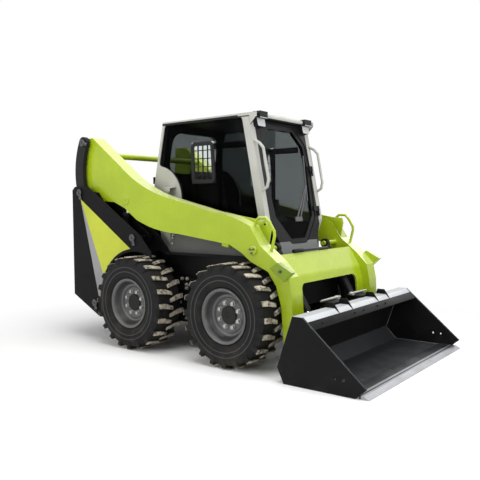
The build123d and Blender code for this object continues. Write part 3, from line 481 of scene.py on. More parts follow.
def ring(name, profile, steps):
    """A closed profile of (outwards, radius) points spun about an axle along Y, outwards to the right."""
    piece = shaped_circle(name, [(0, -out, radius) for out, radius in profile], "NOTHING")
    bpy.ops.mesh.spin(steps=steps, angle=tau, center=(0, 0, 0), axis=(0, 1, 0))
    bpy.ops.mesh.select_all(action="SELECT")
    bpy.ops.mesh.remove_doubles(threshold=merge_within)
    face_out()
    bpy.ops.object.shade_smooth_by_angle(angle=round_to)
    return piece


def cut_plate(name, outline, depth):
    """A flat plate cut to an outline of points in space and thickened by a vector."""
    piece = shaped_circle(name, outline, "NGON")
    bpy.ops.mesh.extrude_region_move(TRANSFORM_OT_translate={"value": depth})
    face_out()
    return piece


def copied(piece):
    """A copy of a piece with its own mesh."""
    only(piece)
    bpy.ops.object.duplicate()
    return bpy.context.object


# One tyre about its own axle: the carcass, then one lug of each row copied round it.
inner_half = tuple((-out, radius) for out, radius in reversed(tyre_profile))
tyre = [ring("lugged_tyre", inner_half + tyre_profile, tyre_steps)]
for outwards in (1, -1):
    points = [(round_by, -outwards * out, lug_root) for out, round_by in lug_outline]
    lug = soften(cut_plate("lug", points, (0, 0, lug_top - lug_root)), lug_edge)
    for count in range(lug_count):
        copy = copied(lug)
        copy.rotation_euler.y = tau / lug_count * (count + (1 - outwards) / 4)
        tyre.append(copy)
    bpy.data.objects.remove(lug)
tyre = applied(join(tyre))

rim = ring("pressed_rim", rim_profile, rim_steps)
hub = ring("hub_cap", (
    (disc_back, pole), (disc_back, hub_radius), (disc_face + 0.009, hub_radius),
    (hub_face, hub_radius - 0.006), (hub_face, 0.022), (disc_face + 0.011, 0.018), (disc_face + 0.011, pole),
), steps=48)
nuts = []
for count in range(nut_count):
    angle = tau * (count + 0.5) / nut_count
    nuts.append(bolt("wheel_nuts", (nut_ring * cos(angle), -disc_face, nut_ring * sin(angle)), nut_across))
nuts = applied(join(nuts))


def axle_distance(tree):
    """The distance from the nearest wheel's axle."""
    place = spot(tree)
    from_middle = plain(tree, "ABSOLUTE", plain(tree, "SUBTRACT", place["X"], wheel_middle))
    along = plain(tree, "SUBTRACT", from_middle, half_wheelbase)
    up = plain(tree, "SUBTRACT", place["Z"], hub_height)
    squares = plain(tree, "ADD", plain(tree, "MULTIPLY", along, along), plain(tree, "MULTIPLY", up, up))
    return plain(tree, "SQRT", squares)


def band(tree, value, low, high, soft):
    """1 where a value lies between two others, with soft ends."""
    return every(tree, ramp(tree, value, low - soft, low), ramp(tree, value, high + soft, high))


def rubber_dust(tree):
    """Dry soil on the lug tops, strongest at the tread and broken up by noise."""
    tread = ramp(tree, axle_distance(tree), lug_top - 0.012, lug_top - 0.001)
    patchy = ramp(tree, noise(tree, Scale=24.0, Detail=7.0, Roughness=0.7), 0.33, 0.6)
    return every(tree, tread, patchy, 0.9)


def sidewall_ridge_highlight(tree):
    """Painted highlight along the lines moulded round the sidewall, paler than the rest."""
    radius = axle_distance(tree)
    outer = band(tree, radius, 0.321, 0.326, 0.003)
    return sums(tree, "ADD", outer, band(tree, radius, 0.282, 0.287, 0.003))


def rim_well_painted_shade(tree):
    """Painted shade in the wells of the rim, outside and inside its dished step."""
    radius = axle_distance(tree)
    outer = band(tree, radius, 0.172, 0.19, 0.012)
    return sums(tree, "ADD", outer, band(tree, radius, 0.138, 0.147, 0.006))


# Painted shade, a darker grey, in the rim's wells.
rim_paint = painted("rim_paint", (0.11, 0.11, 0.112), (0.5, 0.5, 0.49), 0.3, dust=(0.8, 0.12, 0.05),
                    chips=(0.004, 0.8), layers=(((0.035, 0.035, 0.036), rim_well_painted_shade),), shine=0.4)
hub_paint = painted("hub_paint", (0.018, 0.018, 0.019), grey(0.1), 0.42, dust=(0.8, 0.15, 0.05))
# Painted highlight on the sidewall's ridges, and dust on the lug tops.
rubber_layers = (((0.05, 0.052, 0.055), sidewall_ridge_highlight), ((0.6, 0.54, 0.43), rubber_dust))
rubber = painted("tyre_rubber", (0.011, 0.011, 0.0115), (0.03, 0.028, 0.025), 0.62, dust=(0.9, 0.18, 0.05),
                 chips=(0.006, 0.4), grain=(160.0, 0.3), layers=rubber_layers)
wheels = {
    "front_right": (half_wheelbase, -1),
    "front_left": (half_wheelbase, 1),
    "rear_right": (-half_wheelbase, -1),
    "rear_left": (-half_wheelbase, 1),
}
wheel_parts = (
    (tyre, rubber, "tyre_rubber", "tyre_"),
    (rim, rim_paint, "rim_grey", "rim_"),
    (hub, hub_paint, "rim_grey", None),
    (nuts, zinc, "axle_iron", None),
)
for corner, (x, hand) in wheels.items():
    tyre_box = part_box(f"tyre_{corner}")
    middle = Vector((wheel_middle + x, (tyre_box[0].y + tyre_box[1].y) / 2, hub_height))
    for part, material, slot, stands_for in wheel_parts:
        piece = copied(part)
        piece.name = f"{part.name}_{corner}"
        if hand > 0:
            piece.scale.y = -1
            applied(piece)
            bpy.ops.object.mode_set(mode="EDIT")
            face_out()
        piece.location = middle
        settle(piece, material, f"wheel_{corner}")
        if stands_for:
            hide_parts(stands_for + corner)
for part, *_ in wheel_parts:
    bpy.data.objects.remove(part)


# Towers, bumper, hood and tailgate: folded and welded plate in satin black. The pivot pins of the
# loader linkage end in dark steel caps with rubbed edges, each held by a bolted keeper, and a lime
# wedge with a grey stripe is stuck on each tower's outside.
tower_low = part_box("towers")[0]
pin_head = 0.010
tower_face = tower_low.y + pin_head
sticker = (0, -0.0008, 0)
wedge_tip = (-1.315, 1.358)
wedge_radius = 0.484
wedge_start = 97.2
wedge_end = 154.8
stripe_end = 179.0
stripe_foot = (-1.068, 0.428)
tower_pins = ((-1.324, 1.419), (-0.578, 1.0), (-1.121, 0.358))
tower_keeper_turn = radians(20)
pin_cap_radius = 0.034
keeper_plate = Vector((0, -0.004, 0))
keeper_drop = 0.062
fine_edge = 0.001
keeper_bolt = 0.016
keeper_outline = ((0.016, 0), (0.016, 0.05), (0.01, 0.074), (-0.01, 0.074), (-0.016, 0.05), (-0.016, 0))


def on_tower(x, z):
    """A point on the outside of the right tower."""
    return (wheel_middle + x, tower_face, z)


def arch_points(start, end, count):
    """Points round the rear wheel's arch between two angles, on the outside of the right tower."""
    found = []
    for step in range(count + 1):
        angle = radians(start + (end - start) * step / count)
        x = -half_wheelbase + wedge_radius * cos(angle)
        found.append(on_tower(x, hub_height + wedge_radius * sin(angle)))
    return found


wedge_vinyl = painted("wedge_vinyl", (0.56, 0.62, 0.06), (0.3, 0.33, 0.1), 0.28, chips=(0.001, 0.1))
stripe_vinyl = painted("stripe_vinyl", (0.32, 0.32, 0.33), grey(0.3), 0.28, chips=(0.001, 0.1))
wedge = [on_tower(*wedge_tip)] + arch_points(wedge_start, wedge_end, 14)
settle(both_sides(cut_plate("tower_wedges", wedge, sticker)), wedge_vinyl, "frame")
stripe = [on_tower(*wedge_tip)] + arch_points(wedge_end, stripe_end, 8) + [on_tower(*stripe_foot)]
settle(both_sides(cut_plate("tower_stripes", stripe, sticker)), stripe_vinyl, "frame")


def pin_cap(name, place, turn):
    """A chamfered pin end with a centre hole, a keeper plate below it and the keeper's bolt."""
    cap = ring(name, (
        (0.0, pole), (0.0, pin_cap_radius), (0.005, pin_cap_radius), (0.009, pin_cap_radius - 0.005),
        (0.009, 0.014), (0.004, 0.011), (0.004, pole),
    ), steps=36)
    cap.location = place
    away = Vector((sin(turn), 0, -cos(turn)))
    across = Vector((cos(turn), 0, sin(turn)))
    foot = Vector(place)
    corners = [foot + across * side + away * drop for side, drop in keeper_outline]
    keeper = soften(cut_plate(name, corners, keeper_plate), fine_edge)
    return join([cap, keeper, bolt(name, foot + away * keeper_drop + keeper_plate, keeper_bolt)])


pin_steel = painted("pin_steel", grey(0.05), (0.6, 0.6, 0.58), 0.34, chips=(0.004, 1.0), shine=0.5)
caps = []
for x, z in tower_pins:
    caps.append(pin_cap("tower_pin_caps", (wheel_middle + x, tower_low.y + 0.001, z), tower_keeper_turn))
settle(both_sides(join(caps)), pin_steel, "frame")

# A low round knob on the rear edge of each tower.
knob = ring("tower_knobs", ((0, pole), (0, 0.011), (0.006, 0.013), (0.011, 0.011), (0.011, pole)), steps=20)
knob.rotation_euler.z = -pi / 2
knob.location = (tower_low.x + 0.0005, tower_face + 0.02, 0.5)
settle(both_sides(knob), black_paint, "frame")

hood_black = painted("hood_black", (0.012, 0.012, 0.013), grey(0.06), 0.3)
finish_nodes(black_paint, "towers", "rear_bumper", "fenders")
finish_nodes(hood_black, "engine_hood", "rear_door")

# The tailgate's latch: a moulded plate with a recessed cup to pull it by.
gate_low, gate_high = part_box("rear_door")
latch_place = (gate_low.x + 0.009, gate_low.y + 0.075, (gate_low.z + gate_high.z) / 2)
latch_size = (0.012, 0.05, 0.13)
cup_rim = 0.009
cup_depth = 0.005
plate_edge = 0.002
only(nodes["chassis"])
bpy.ops.mesh.primitive_cube_add(size=1, location=latch_place, scale=latch_size)
latch = named("tailgate_latch")
bpy.ops.object.transform_apply(location=False, rotation=False, scale=True)
bpy.ops.object.mode_set(mode="EDIT")
bpy.ops.mesh.select_mode(type="FACE")
bpy.ops.mesh.select_all(action="DESELECT")
bpy.ops.object.mode_set(mode="OBJECT")
for face in latch.data.polygons:
    face.select = face.normal.x < -0.9
bpy.ops.object.mode_set(mode="EDIT")
bpy.ops.mesh.inset(thickness=cup_rim)
bpy.ops.mesh.extrude_region_move(TRANSFORM_OT_translate={"value": (cup_depth, 0, 0)})
bpy.ops.object.mode_set(mode="OBJECT")
soften(latch, plate_edge)
black_plastic = painted("black_plastic", (0.015, 0.015, 0.016), grey(0.03), 0.5, grain=(700.0, 0.35))
settle(latch, black_plastic, "tailgate")

panel_grey = painted("panel_grey", (0.13, 0.13, 0.128), grey(0.1), 0.45)
finish_nodes(panel_grey, "side_panels")

# Three zinc fittings of a valve line stand between the tower and the side panel on each side.
fitting_place = Vector((wheel_middle - 0.282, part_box("side_panels")[0].y - 0.008, 0.944))
fitting_profile = ((0, pole), (0, 0.013), (0.012, 0.013), (0.016, 0.009), (0.016, pole))
fitting = ring("valve_fittings", fitting_profile, steps=6)
fitting.rotation_euler.x = -pi / 2
fitting.location = fitting_place
fittings = [fitting]
for shift in ((0, 0, 0.05), (0.004, 0, 0.072)):
    copy = copied(fitting)
    copy.location += Vector(shift)
    fittings.append(copy)
settle(both_sides(soften(join(fittings), fine_edge)), zinc, "frame")


# Cab: welded frame in pale warm grey outside and black inside, with large tinted panes behind
# welded guards, black seals, a black door with a wiper, and a folded step on each rear quarter.
cab_low, cab_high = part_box("cab_sides")
guard_low, guard_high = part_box("window_guards")
visor_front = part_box("cab_roof")[1].x
fender_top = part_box("fenders")[1].z
seal_top = cab_high.z + 0.011
seal_front = visor_front - 0.19
pillar_from = 0.392
sill_top = 0.975
slider_from = wheel_middle + 0.14
cab_pale = (0.5, 0.5, 0.46)
cab_worn = (0.3, 0.3, 0.28)
cab_lining = (0.01, 0.01, 0.011)
cab_dust = (0.5, 0.1, 0.03)
sill_grey = (0.2, 0.205, 0.205)
clear_glass = (0.9, 0.92, 0.92, 1)


def above(tree, value, limit):
    """1 where a value is over a limit."""
    return plain(tree, "GREATER_THAN", value, limit)


def below(tree, value, limit):
    """1 where a value is under a limit."""
    return plain(tree, "LESS_THAN", value, limit)


def within(tree, value, limit):
    """1 where a value lies nearer to nought than a limit."""
    return below(tree, plain(tree, "ABSOLUTE", value), limit)


def looks_inside(tree):
    """The side walls' inner faces and window reveals, and what lies under the fenders or the roof."""
    place = spot(tree)
    way = facing(tree)
    inwards = below(tree, plain(tree, "MULTIPLY", place["Y"], way["Y"]), -0.1)
    reveal = every(tree, within(tree, way["Y"], 0.5), within(tree, way["X"], 0.5),
                   within(tree, place["Y"], cab_high.y - 0.004))
    dark = plain(tree, "MAXIMUM", inwards, reveal)
    dark = plain(tree, "MAXIMUM", dark, below(tree, place["Z"], fender_top))
    return plain(tree, "MAXIMUM", dark, above(tree, place["Z"], cab_high.z - 0.009))


def roof_seal(tree):
    """The black seal along the foot of the roof's sides, as far as the visor."""
    place = spot(tree)
    return every(tree, below(tree, place["Z"], seal_top), below(tree, place["X"], seal_front))


def looks_along(axis, sign, limit=0.5):
    """A function that builds the mask of the faces that look one way along an axis."""
    def mask(tree):
        part = facing(tree)[axis]
        return above(tree, part, limit) if sign > 0 else below(tree, part, -limit)
    return mask


def between_pillars(tree):
    """The black part of the cab's front between the pillars."""
    return within(tree, spot(tree)["Y"], pillar_from)


def door_sill(tree):
    """The grey sill and corners round the foot of the door."""
    return below(tree, spot(tree)["Z"], sill_top)


def cab_paint(name, *layers):
    """The cab's pale paint with darker parts."""
    return painted(name, cab_pale, cab_worn, 0.3, dust=cab_dust, layers=layers)


def tinted(name, tint, clear=None, left=None):
    """Tinted glass with a thin film of dust, a clear patch behind a guard, and a tint of its own for
    the sliding pane on the machine's left, where they are given."""
    material, tree, shader = new_material(name)
    film = ramp(tree, noise(tree, Scale=5.0, Detail=6.0, Roughness=0.6), 0.4, 0.8)
    shade = mixed(tree, film, tint + (1,), tuple(0.9 * part for part in tint) + (1,))
    place = spot(tree)
    if left:
        pane = every(tree, above(tree, place["Y"], 0.0), above(tree, place["X"], slider_from))
        shade = mixed(tree, pane, shade, left + (1,))
    if clear:
        patch = every(tree, above(tree, place["X"], clear[0].x), below(tree, place["X"], clear[1].x),
                      above(tree, place["Z"], clear[0].z), below(tree, place["Z"], clear[1].z))
        shade = mixed(tree, patch, shade, clear_glass)
    wire(tree, shader, Base_Color=shade, IOR=1.07, Roughness=0.0, Transmission_Weight=1.0)
    return material


finish_nodes(cab_paint("cab_side_paint", (cab_lining, looks_inside)), "cab_sides")
roof_layers = ((cab_lining, looks_along("Z", -1)), (cab_lining, roof_seal))
finish_nodes(cab_paint("cab_roof_paint", *roof_layers), "cab_roof")
finish_nodes(cab_paint("cab_rear_paint", (cab_lining, looks_along("X", 1, 0.3))), "cab_rear_wall")
front_layers = ((cab_lining, between_pillars), (sill_grey, door_sill))
finish_nodes(cab_paint("cab_front_paint", *front_layers), "cab_front_frame")
handle_paint = painted("handle_paint", cab_pale, cab_worn, 0.28, dust=cab_dust)
guard_paint = painted("guard_paint", (0.014, 0.014, 0.0145), grey(0.1), 0.4)
finish_nodes(handle_paint, "cab_handles")
finish_nodes(guard_paint, "window_guards")
finish_nodes(painted("door_black", (0.011, 0.011, 0.012), grey(0.05), 0.32), "cab_door")
finish_nodes(painted("wiper_paint", (0.09, 0.09, 0.095), grey(0.2), 0.3, shine=0.5), "wiper")
side_tint = tinted("side_glass_tint", (0.12, 0.135, 0.135), (guard_low, guard_high), (0.32, 0.34, 0.34))
finish_nodes(side_tint, "side_glass")
finish_nodes(tinted("rear_glass_tint", (0.75, 0.78, 0.77)), "rear_glass")
finish_nodes(tinted("door_glass_tint", (0.3, 0.32, 0.32)), "door_glass")


def upright(name, y, outline, thickness, edge):
    """A plate across Y with softened edges, cut to (x, z) points counted from the wheelbase's middle."""
    points = [(wheel_middle + x, y, z) for x, z in outline]
    return soften(cut_plate(name, points, (0, thickness, 0)), edge)


# The folded step on the rear quarter of each side wall: a tread, a lip before it and a back plate.
quarter = cab_low.y
step_face = quarter - 0.07
folded_edge = 0.0015
tread = cut_plate("quarter_steps", [
    (wheel_middle - 0.455, quarter, 1.463),
    (wheel_middle - 0.350, quarter, 1.463),
    (wheel_middle - 0.362, step_face, 1.452),
    (wheel_middle - 0.468, step_face, 1.452),
], (0, 0, -0.005))
soften(tread, folded_edge)
lip_outline = ((-0.468, 1.456), (-0.362, 1.456), (-0.372, 1.405), (-0.452, 1.405))
lip = upright("quarter_step_lip", step_face, lip_outline, 0.005, folded_edge)
back_outline = ((-0.455, 1.52), (-0.350, 1.52), (-0.350, 1.455), (-0.455, 1.455))
back = upright("quarter_step_back", quarter, back_outline, -0.004, folded_edge)
settle(both_sides(join([tread, lip, back])), handle_paint, "frame")

# The cab's rear hook, a bent bar behind each rear corner that holds the hood's stay.
hook_outline = (
    (-0.66, 1.56), (-0.60, 1.56), (-0.60, 1.545), (-0.645, 1.545),
    (-0.645, 1.51), (-0.615, 1.51), (-0.615, 1.495), (-0.66, 1.495),
)
hook = upright("hood_hooks", quarter + 0.03, hook_outline, -0.02, plate_edge)
settle(both_sides(hook), black_plastic, "frame")

# The rails of the sliding panes, seen through the glass on both sides.
lining_face = cab_high.y - 0.043
rail_outline = (
    (0.031, 1.835), (0.427, 1.835), (0.427, 1.78), (0.162, 1.78),
    (0.162, 1.14), (0.121, 1.14), (0.121, 1.78), (0.031, 1.78),
)
rail = upright("sliding_window_rails", -lining_face, rail_outline, 0.012, plate_edge)
settle(both_sides(rail), guard_paint, "frame")


# Seat and controls: a suspension seat with two stuffed pads in woven cloth, and a console on each
# side whose lever stands in a rubber boot. The inside of the cab is black.
pad_swell = 0.014
pad_voxel = 0.014
pad_pressure = 4.0
pad_frames = 20
channel_place = 0.12
channel_depth = 0.008
channel_width = 0.012
thread_scale = 160.0
finish_nodes(black_plastic, "cab_floor", "control_consoles", "seat_base")
seat_cloth, tree, shader = new_material("seat_cloth")
threads = []
for direction in ("Y", "X"):
    threads.append(put(tree, "ShaderNodeTexWave", {"bands_direction": direction}, Vector=object_place(tree),
                       Scale=thread_scale, Distortion=0.6).outputs["Fac"])
weave = every(tree, *threads)
fuzz = noise(tree, Scale=9.0, Detail=6.0)
cloth_shade = mixed(tree, fuzz, (0.02, 0.02, 0.022, 1), (0.035, 0.035, 0.037, 1))
bump = put(tree, "ShaderNodeBump", Strength=0.4, Distance=0.001, Height=weave)
wire(tree, shader, Base_Color=mixed(tree, weave, cloth_shade, (0.012, 0.012, 0.013, 1)), Sheen_Weight=0.25,
     Roughness=sums(tree, "MULTIPLY_ADD", weave, 0.1, 0.82), Normal=bump.outputs["Normal"])


def stuffed_pad(name, node, up):
    """A pad blown up inside the space of its solid, with two sewn channels on the side that looks up."""
    pad = bpy.data.objects.new(name, nodes[node].data.copy())
    scene.collection.objects.link(pad)
    only(pad)
    bpy.ops.object.mode_set(mode="EDIT")
    bpy.ops.mesh.select_all(action="SELECT")
    bpy.ops.mesh.remove_doubles(threshold=merge_within)
    bpy.ops.object.mode_set(mode="OBJECT")
    low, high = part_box(node)
    middle = (low + high) / 2
    size = high - low
    for vertex in pad.data.vertices:
        away = vertex.co - middle
        vertex.co = middle + Vector([a * (1 - 2 * pad_swell / s) for a, s in zip(away, size)])
    modify(pad, "REMESH", mode="VOXEL", voxel_size=pad_voxel)
    start = [vertex.co.copy() for vertex in pad.data.vertices]
    cloth = pad.modifiers.new("stuffing", "CLOTH")
    cloth.settings.use_pressure = True
    cloth.settings.uniform_pressure_force = pad_pressure
    cloth.settings.effector_weights.gravity = 0
    for step in range(1, pad_frames + 1):
        scene.frame_set(step)
    only(pad)
    bpy.ops.object.modifier_apply(modifier="stuffing")
    scene.frame_set(1)
    for vertex, before in zip(pad.data.vertices, start):
        moved = vertex.co - before
        if moved.length > pad_swell:
            vertex.co = before + moved.normalized() * pad_swell
    modify(pad, "SUBSURF", levels=1, render_levels=1)
    for vertex in pad.data.vertices:
        if vertex.normal.dot(up) > 0.5:
            groove = max(0.0, 1 - abs(abs(vertex.co.y) - channel_place) / channel_width)
            vertex.co -= up * channel_depth * groove
    bpy.ops.object.shade_smooth()
    settle(pad, seat_cloth, "frame")
    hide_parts(node)


stuffed_pad("seat_cushion_pad", "seat_cushion", Vector((0, 0, 1)))
stuffed_pad("seat_back_pad", "seat_back", Vector((1, 0, 0.17)).normalized())

console_top = 1.19
boot = ring("lever_boots", (
    (0.0, pole), (0.0, 0.045), (0.008, 0.048), (0.016, 0.038), (0.024, 0.042), (0.032, 0.031),
    (0.040, 0.035), (0.048, 0.024), (0.056, 0.0185), (0.056, pole),
), steps=32)
boot.rotation_euler.x = -pi / 2
boot.location = (wheel_middle + 0.23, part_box("control_consoles")[0].y + 0.07, console_top)
settle(both_sides(boot), black_plastic, "frame")


# Lamps: work lights over the door, whose pale lenses sit in black plastic housings on brackets, and
# red plastic tail lamps screwed to the rear.
lens_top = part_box("work_lights")[1].z - 0.05


def lens_face(tree):
    """The lens on the front of each work light, below its bracket."""
    return every(tree, above(tree, facing(tree)["X"], 0.9), below(tree, spot(tree)["Z"], lens_top))


lamp_plastic = painted("lamp_plastic", (0.016, 0.016, 0.017), grey(0.03), 0.3,
                       layers=(((0.55, 0.56, 0.56), lens_face),))
finish_nodes(lamp_plastic, "work_lights")
finish_nodes(painted("tail_lamp_red", (0.42, 0.012, 0.012), (0.2, 0.02, 0.02), 0.15), "tail_lamps")


# Loader linkage: black links and cylinder barrels, chromed rods, lime arms of folded plate with
# bolted pins at their pivots, a gusset that carries the grab handle and a bracket on the knee.
arm_outer = -0.72
arm_inner = -0.58
link_pin = (-1.285, 1.9)
link_keeper_turn = radians(75)
knee_pin = (0.727, 0.935)
knee_pin_face = arm_outer - 0.010
lift_base = tower_pins[2]
lift_pin = (-0.735, 1.337)
tilt_pin = (1.079, 0.344)
bracket_middle = (1.016, 0.791)
bracket_face = arm_outer - 0.05


def painted_top_highlight(tree):
    """The faces that look up, painted paler as a highlight from the light overhead."""
    return ramp(tree, facing(tree, "Normal")["Z"], 0.3, 0.95)


def outside_arm(tree, by):
    """What stands outside the arms' outer faces by more than a distance."""
    return above(tree, plain(tree, "ABSOLUTE", spot(tree)["Y"]), by - arm_outer)


def link_collars(tree):
    """The collars of the rear link pins, outside the arm at its top."""
    return every(tree, outside_arm(tree, 0.012), below(tree, spot(tree)["X"], wheel_middle - 1.2))


def knee_bracket_painted_shade(tree):
    """Painted shade on the brackets on the knees: a darker green than the arms."""
    return every(tree, outside_arm(tree, 0.002), above(tree, spot(tree)["X"], wheel_middle + 0.9))


lime_layers = (
    # Painted highlight: a paler lime on the faces that look up.
    ((0.62, 0.69, 0.24), painted_top_highlight),
    ((0.012, 0.012, 0.013), link_collars),
    # Painted shade: a darker green on the knee brackets.
    ((0.2, 0.3, 0.004), knee_bracket_painted_shade),
)
lime_paint = painted("lime_paint", (0.4, 0.53, 0.012), (0.3, 0.33, 0.1), 0.22, dust=(0.5, 0.08, 0.02),
                     layers=lime_layers, shine=0.32)
tree = lime_paint.node_tree
wire(tree, tree.nodes["Principled BSDF"], Coat_Weight=0.3, Coat_Roughness=0.1)
cylinder_paint = painted("cylinder_paint", (0.013, 0.013, 0.014), grey(0.06), 0.32)
chrome, tree, shader = new_material("rod_chrome")
hone = noise(tree, Scale=300.0, Detail=2.0)
wire(tree, shader, Base_Color=(0.72, 0.72, 0.73, 1), Metallic=1.0,
     Roughness=sums(tree, "MULTIPLY_ADD", hone, 0.12, 0.06))
finish_nodes(cylinder_paint, "rear_links", "control_links", "lift_barrels", "tilt_barrels")
finish_nodes(chrome, "lift_rods", "tilt_rods")
finish_nodes(lime_paint, "lift_arms", "arm_cross_tube", "arm_cross_member")

# The pins' ends: a kept cap at the rear link, bolts on the knee pin and the bracket, and lime bosses.
stud_count = 3
stud_ring = 0.02
stud_across = 0.014
boss_height = 0.008
link_pin_place = (wheel_middle + link_pin[0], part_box("lift_arms")[0].y + 0.001, link_pin[1])
fasteners = [pin_cap("arm_pin_caps", link_pin_place, link_keeper_turn)]
for count in range(stud_count):
    angle = tau * count / stud_count + 0.5
    x = wheel_middle + knee_pin[0] + stud_ring * cos(angle)
    z = knee_pin[1] + stud_ring * sin(angle)
    fasteners.append(bolt("knee_pin_bolts", (x, knee_pin_face - boss_height, z), stud_across))
bracket_place = (wheel_middle + bracket_middle[0], bracket_face, bracket_middle[1])
fasteners.append(bolt("bracket_bolt", bracket_place, 0.02))
boss_profile = (
    (0.0, pole), (0.0, 0.036), (0.006, 0.036), (boss_height, 0.033),
    (boss_height, 0.012), (0.003, 0.01), (0.003, pole),
)
bosses = []
for (x, z), face in ((knee_pin, knee_pin_face), (lift_pin, arm_outer)):
    boss = ring("arm_pin_bosses", boss_profile, steps=36)
    boss.location = (wheel_middle + x, face, z)
    bosses.append(boss)
settle(both_sides(join(fasteners)), pin_steel, "loader_arm")
settle(both_sides(join(bosses)), lime_paint, "loader_arm")

# The gusset under the grab handle with its two bolts, and the tab that holds the hoses.
gusset_face = arm_inner - 0.002
gusset_thick = 0.01
gusset_outline = (
    (0.330, 1.231), (0.735, 1.166), (0.805, 1.164), (0.815, 1.118),
    (0.790, 0.990), (0.694, 1.121), (0.540, 1.184),
)
tab_outline = ((0.395, 0.992), (0.469, 0.982), (0.469, 0.947), (0.400, 0.957))
gusset = upright("handle_gussets", gusset_face, gusset_outline, -gusset_thick, folded_edge)
tab = upright("hose_tabs", arm_outer + 0.012, tab_outline, 0.05, plate_edge)
settle(both_sides(join([gusset, tab])), lime_paint, "loader_arm")
heads = []
for x in (0.752, 0.797):
    heads.append(bolt("gusset_bolts", (wheel_middle + x, gusset_face - gusset_thick, 1.137), 0.012))
settle(both_sides(join(heads)), black_paint, "loader_arm")


def gland(name, base, eye, y, back, radius, bore):
    """A gland nut on the line from a cylinder's base to its rod's eye, a distance back from the eye."""
    nut = ring(name, (
        (-0.016, bore), (-0.016, radius + 0.004), (-0.004, radius + 0.004), (-0.002, radius + 0.001),
        (0.002, radius + 0.001), (0.004, radius + 0.004), (0.014, radius + 0.003), (0.018, radius - 0.004),
        (0.018, bore),
    ), steps=36)
    end = Vector((wheel_middle + eye[0], y, eye[1]))
    way = (end - Vector((wheel_middle + base[0], y, base[1]))).normalized()
    turn = way.to_track_quat("-Y", "Z").to_matrix().to_4x4()
    nut.matrix_world = Matrix.Translation(end - way * back) @ turn
    return both_sides(nut)


# The cylinders' glands: a ribbed black nut with a wiper lip where each rod comes out.
lift_y = -0.664
tilt_y = -0.4
lift_glands = gland("lift_glands", lift_base, lift_pin, lift_y, 0.136, 0.038, 0.0275)
settle(lift_glands, cylinder_paint, "lift_barrel_pair")
tilt_glands = gland("tilt_glands", knee_pin, tilt_pin, tilt_y, 0.126, 0.034, 0.0205)
settle(tilt_glands, cylinder_paint, "tilt_barrel_pair")

# The arm's safety prop, a black tube with a fat grip that lies on the cross member.
cross_low, cross_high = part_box("arm_cross_member")
tube = 0.011
grip = 0.0165
prop = ring("arm_prop", (
    (-0.17, pole), (-0.17, 0.009), (-0.165, tube), (0.235, tube),
    (0.243, grip), (0.380, grip), (0.386, 0.013), (0.386, pole),
), steps=24)
prop.location = (cross_low.x + 0.012, 0, cross_high.z + grip)
settle(prop, cylinder_paint, "loader_arm")


# Bucket and quick attach: welded plate in near-black paint with rubbed edges, a painted reflection on the
# faces that look up, a lip painted pale on top as a reflection of the bright surround, with a bolted flange,
# and a steel cutting edge, bare in front. Two bracket frames carry the latch levers.
bucket_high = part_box("bucket")[1]
edge_low, edge_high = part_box("cutting_edge")
bare_edge = 0.5 * (edge_high.x - edge_low.x)


def lip_top_painted_reflection(tree):
    """The lip's top, painted pale as a reflection of the bright surround on its glossy face."""
    at_top = above(tree, spot(tree)["Z"], bucket_high.z - 0.004)
    return every(tree, above(tree, facing(tree)["Z"], 0.9), at_top)


def painted_rear(tree):
    """The rear of the cutting edge, where the floor's paint runs out on to it, and the seam before it."""
    x = spot(tree)["X"]
    rear = ramp(tree, x, edge_high.x - bare_edge, edge_high.x - bare_edge - 0.004)
    seam = band(tree, x, edge_high.x - 0.78 * bare_edge, edge_high.x - 0.66 * bare_edge, 0.003)
    return sums(tree, "ADD", rear, seam)


# Painted reflection: the faces that look up are a lighter bluish grey, as if they mirrored the pale
# surround.
bucket_painted_reflections = (((0.032, 0.035, 0.038), looks_along("Z", 1, 0.35)), ((0.46, 0.48, 0.5), lip_top_painted_reflection))
bucket_paint = painted("bucket_paint", (0.009, 0.009, 0.0096), grey(0.42), 0.36, dust=(0.3, 0.06, 0.02),
                       chips=(0.005, 0.7), layers=bucket_painted_reflections, shine=0.08)
attach_paint = painted("attach_paint", (0.009, 0.009, 0.0095), grey(0.1), 0.5, shine=0.08)
edge_steel = painted("edge_steel", (0.42, 0.43, 0.45), grey(0.6), 0.32, dust=(0.3, 0.1, 0.03),
                     layers=(((0.05, 0.053, 0.057), painted_rear),), metal=0.8)
finish_nodes(bucket_paint, "bucket")
finish_nodes(attach_paint, "quick_attach")
finish_nodes(edge_steel, "cutting_edge")

# The lip: a band painted pale as a reflection of the bright surround, and a dark bolted flange, which follow
# the slope of the side plates' edges.
lip_half = bucket_high.y - 0.0185
lip_corner = Vector((wheel_middle + 1.306, 0, bucket_high.z))
band_edge = Vector((wheel_middle + 1.342, 0, bucket_high.z - 0.0325))
flange_edge = Vector((wheel_middle + 1.396, 0, bucket_high.z - 0.081))
lip_plate = Vector((-0.005, 0, -0.006))
lip_bolts = (-0.751, -0.255, -0.101, 0.153, 0.308)
lip_bolt = 0.012


def lip_strip(name, upper, lower):
    """A strip of the lip between two lines across the bucket."""
    right, left = Vector((0, -lip_half, 0)), Vector((0, lip_half, 0))
    corners = [upper + right, upper + left, lower + left, lower + right]
    return soften(cut_plate(name, corners, lip_plate), fine_edge)


# Painted reflection: the lip band's pale colour stands for the bright surround mirrored in the glossy lip.
lip_band_painted_reflection = painted("lip_band_painted_reflection", (0.62, 0.64, 0.66), grey(0.3), 0.34, chips=(0.002, 0.4))
settle(lip_strip("lip_band", lip_corner, band_edge), lip_band_painted_reflection, "loader_bucket")
settle(lip_strip("lip_flange", band_edge, flange_edge), attach_paint, "loader_bucket")
lip_way = (flange_edge - band_edge).cross(Vector((0, 1, 0))).normalized()
flange_middle = (band_edge + flange_edge) / 2
heads = [bolt("lip_bolts", flange_middle + Vector((0, y, 0)), lip_bolt, along=lip_way) for y in lip_bolts]
settle(join(heads), black_paint, "loader_bucket")

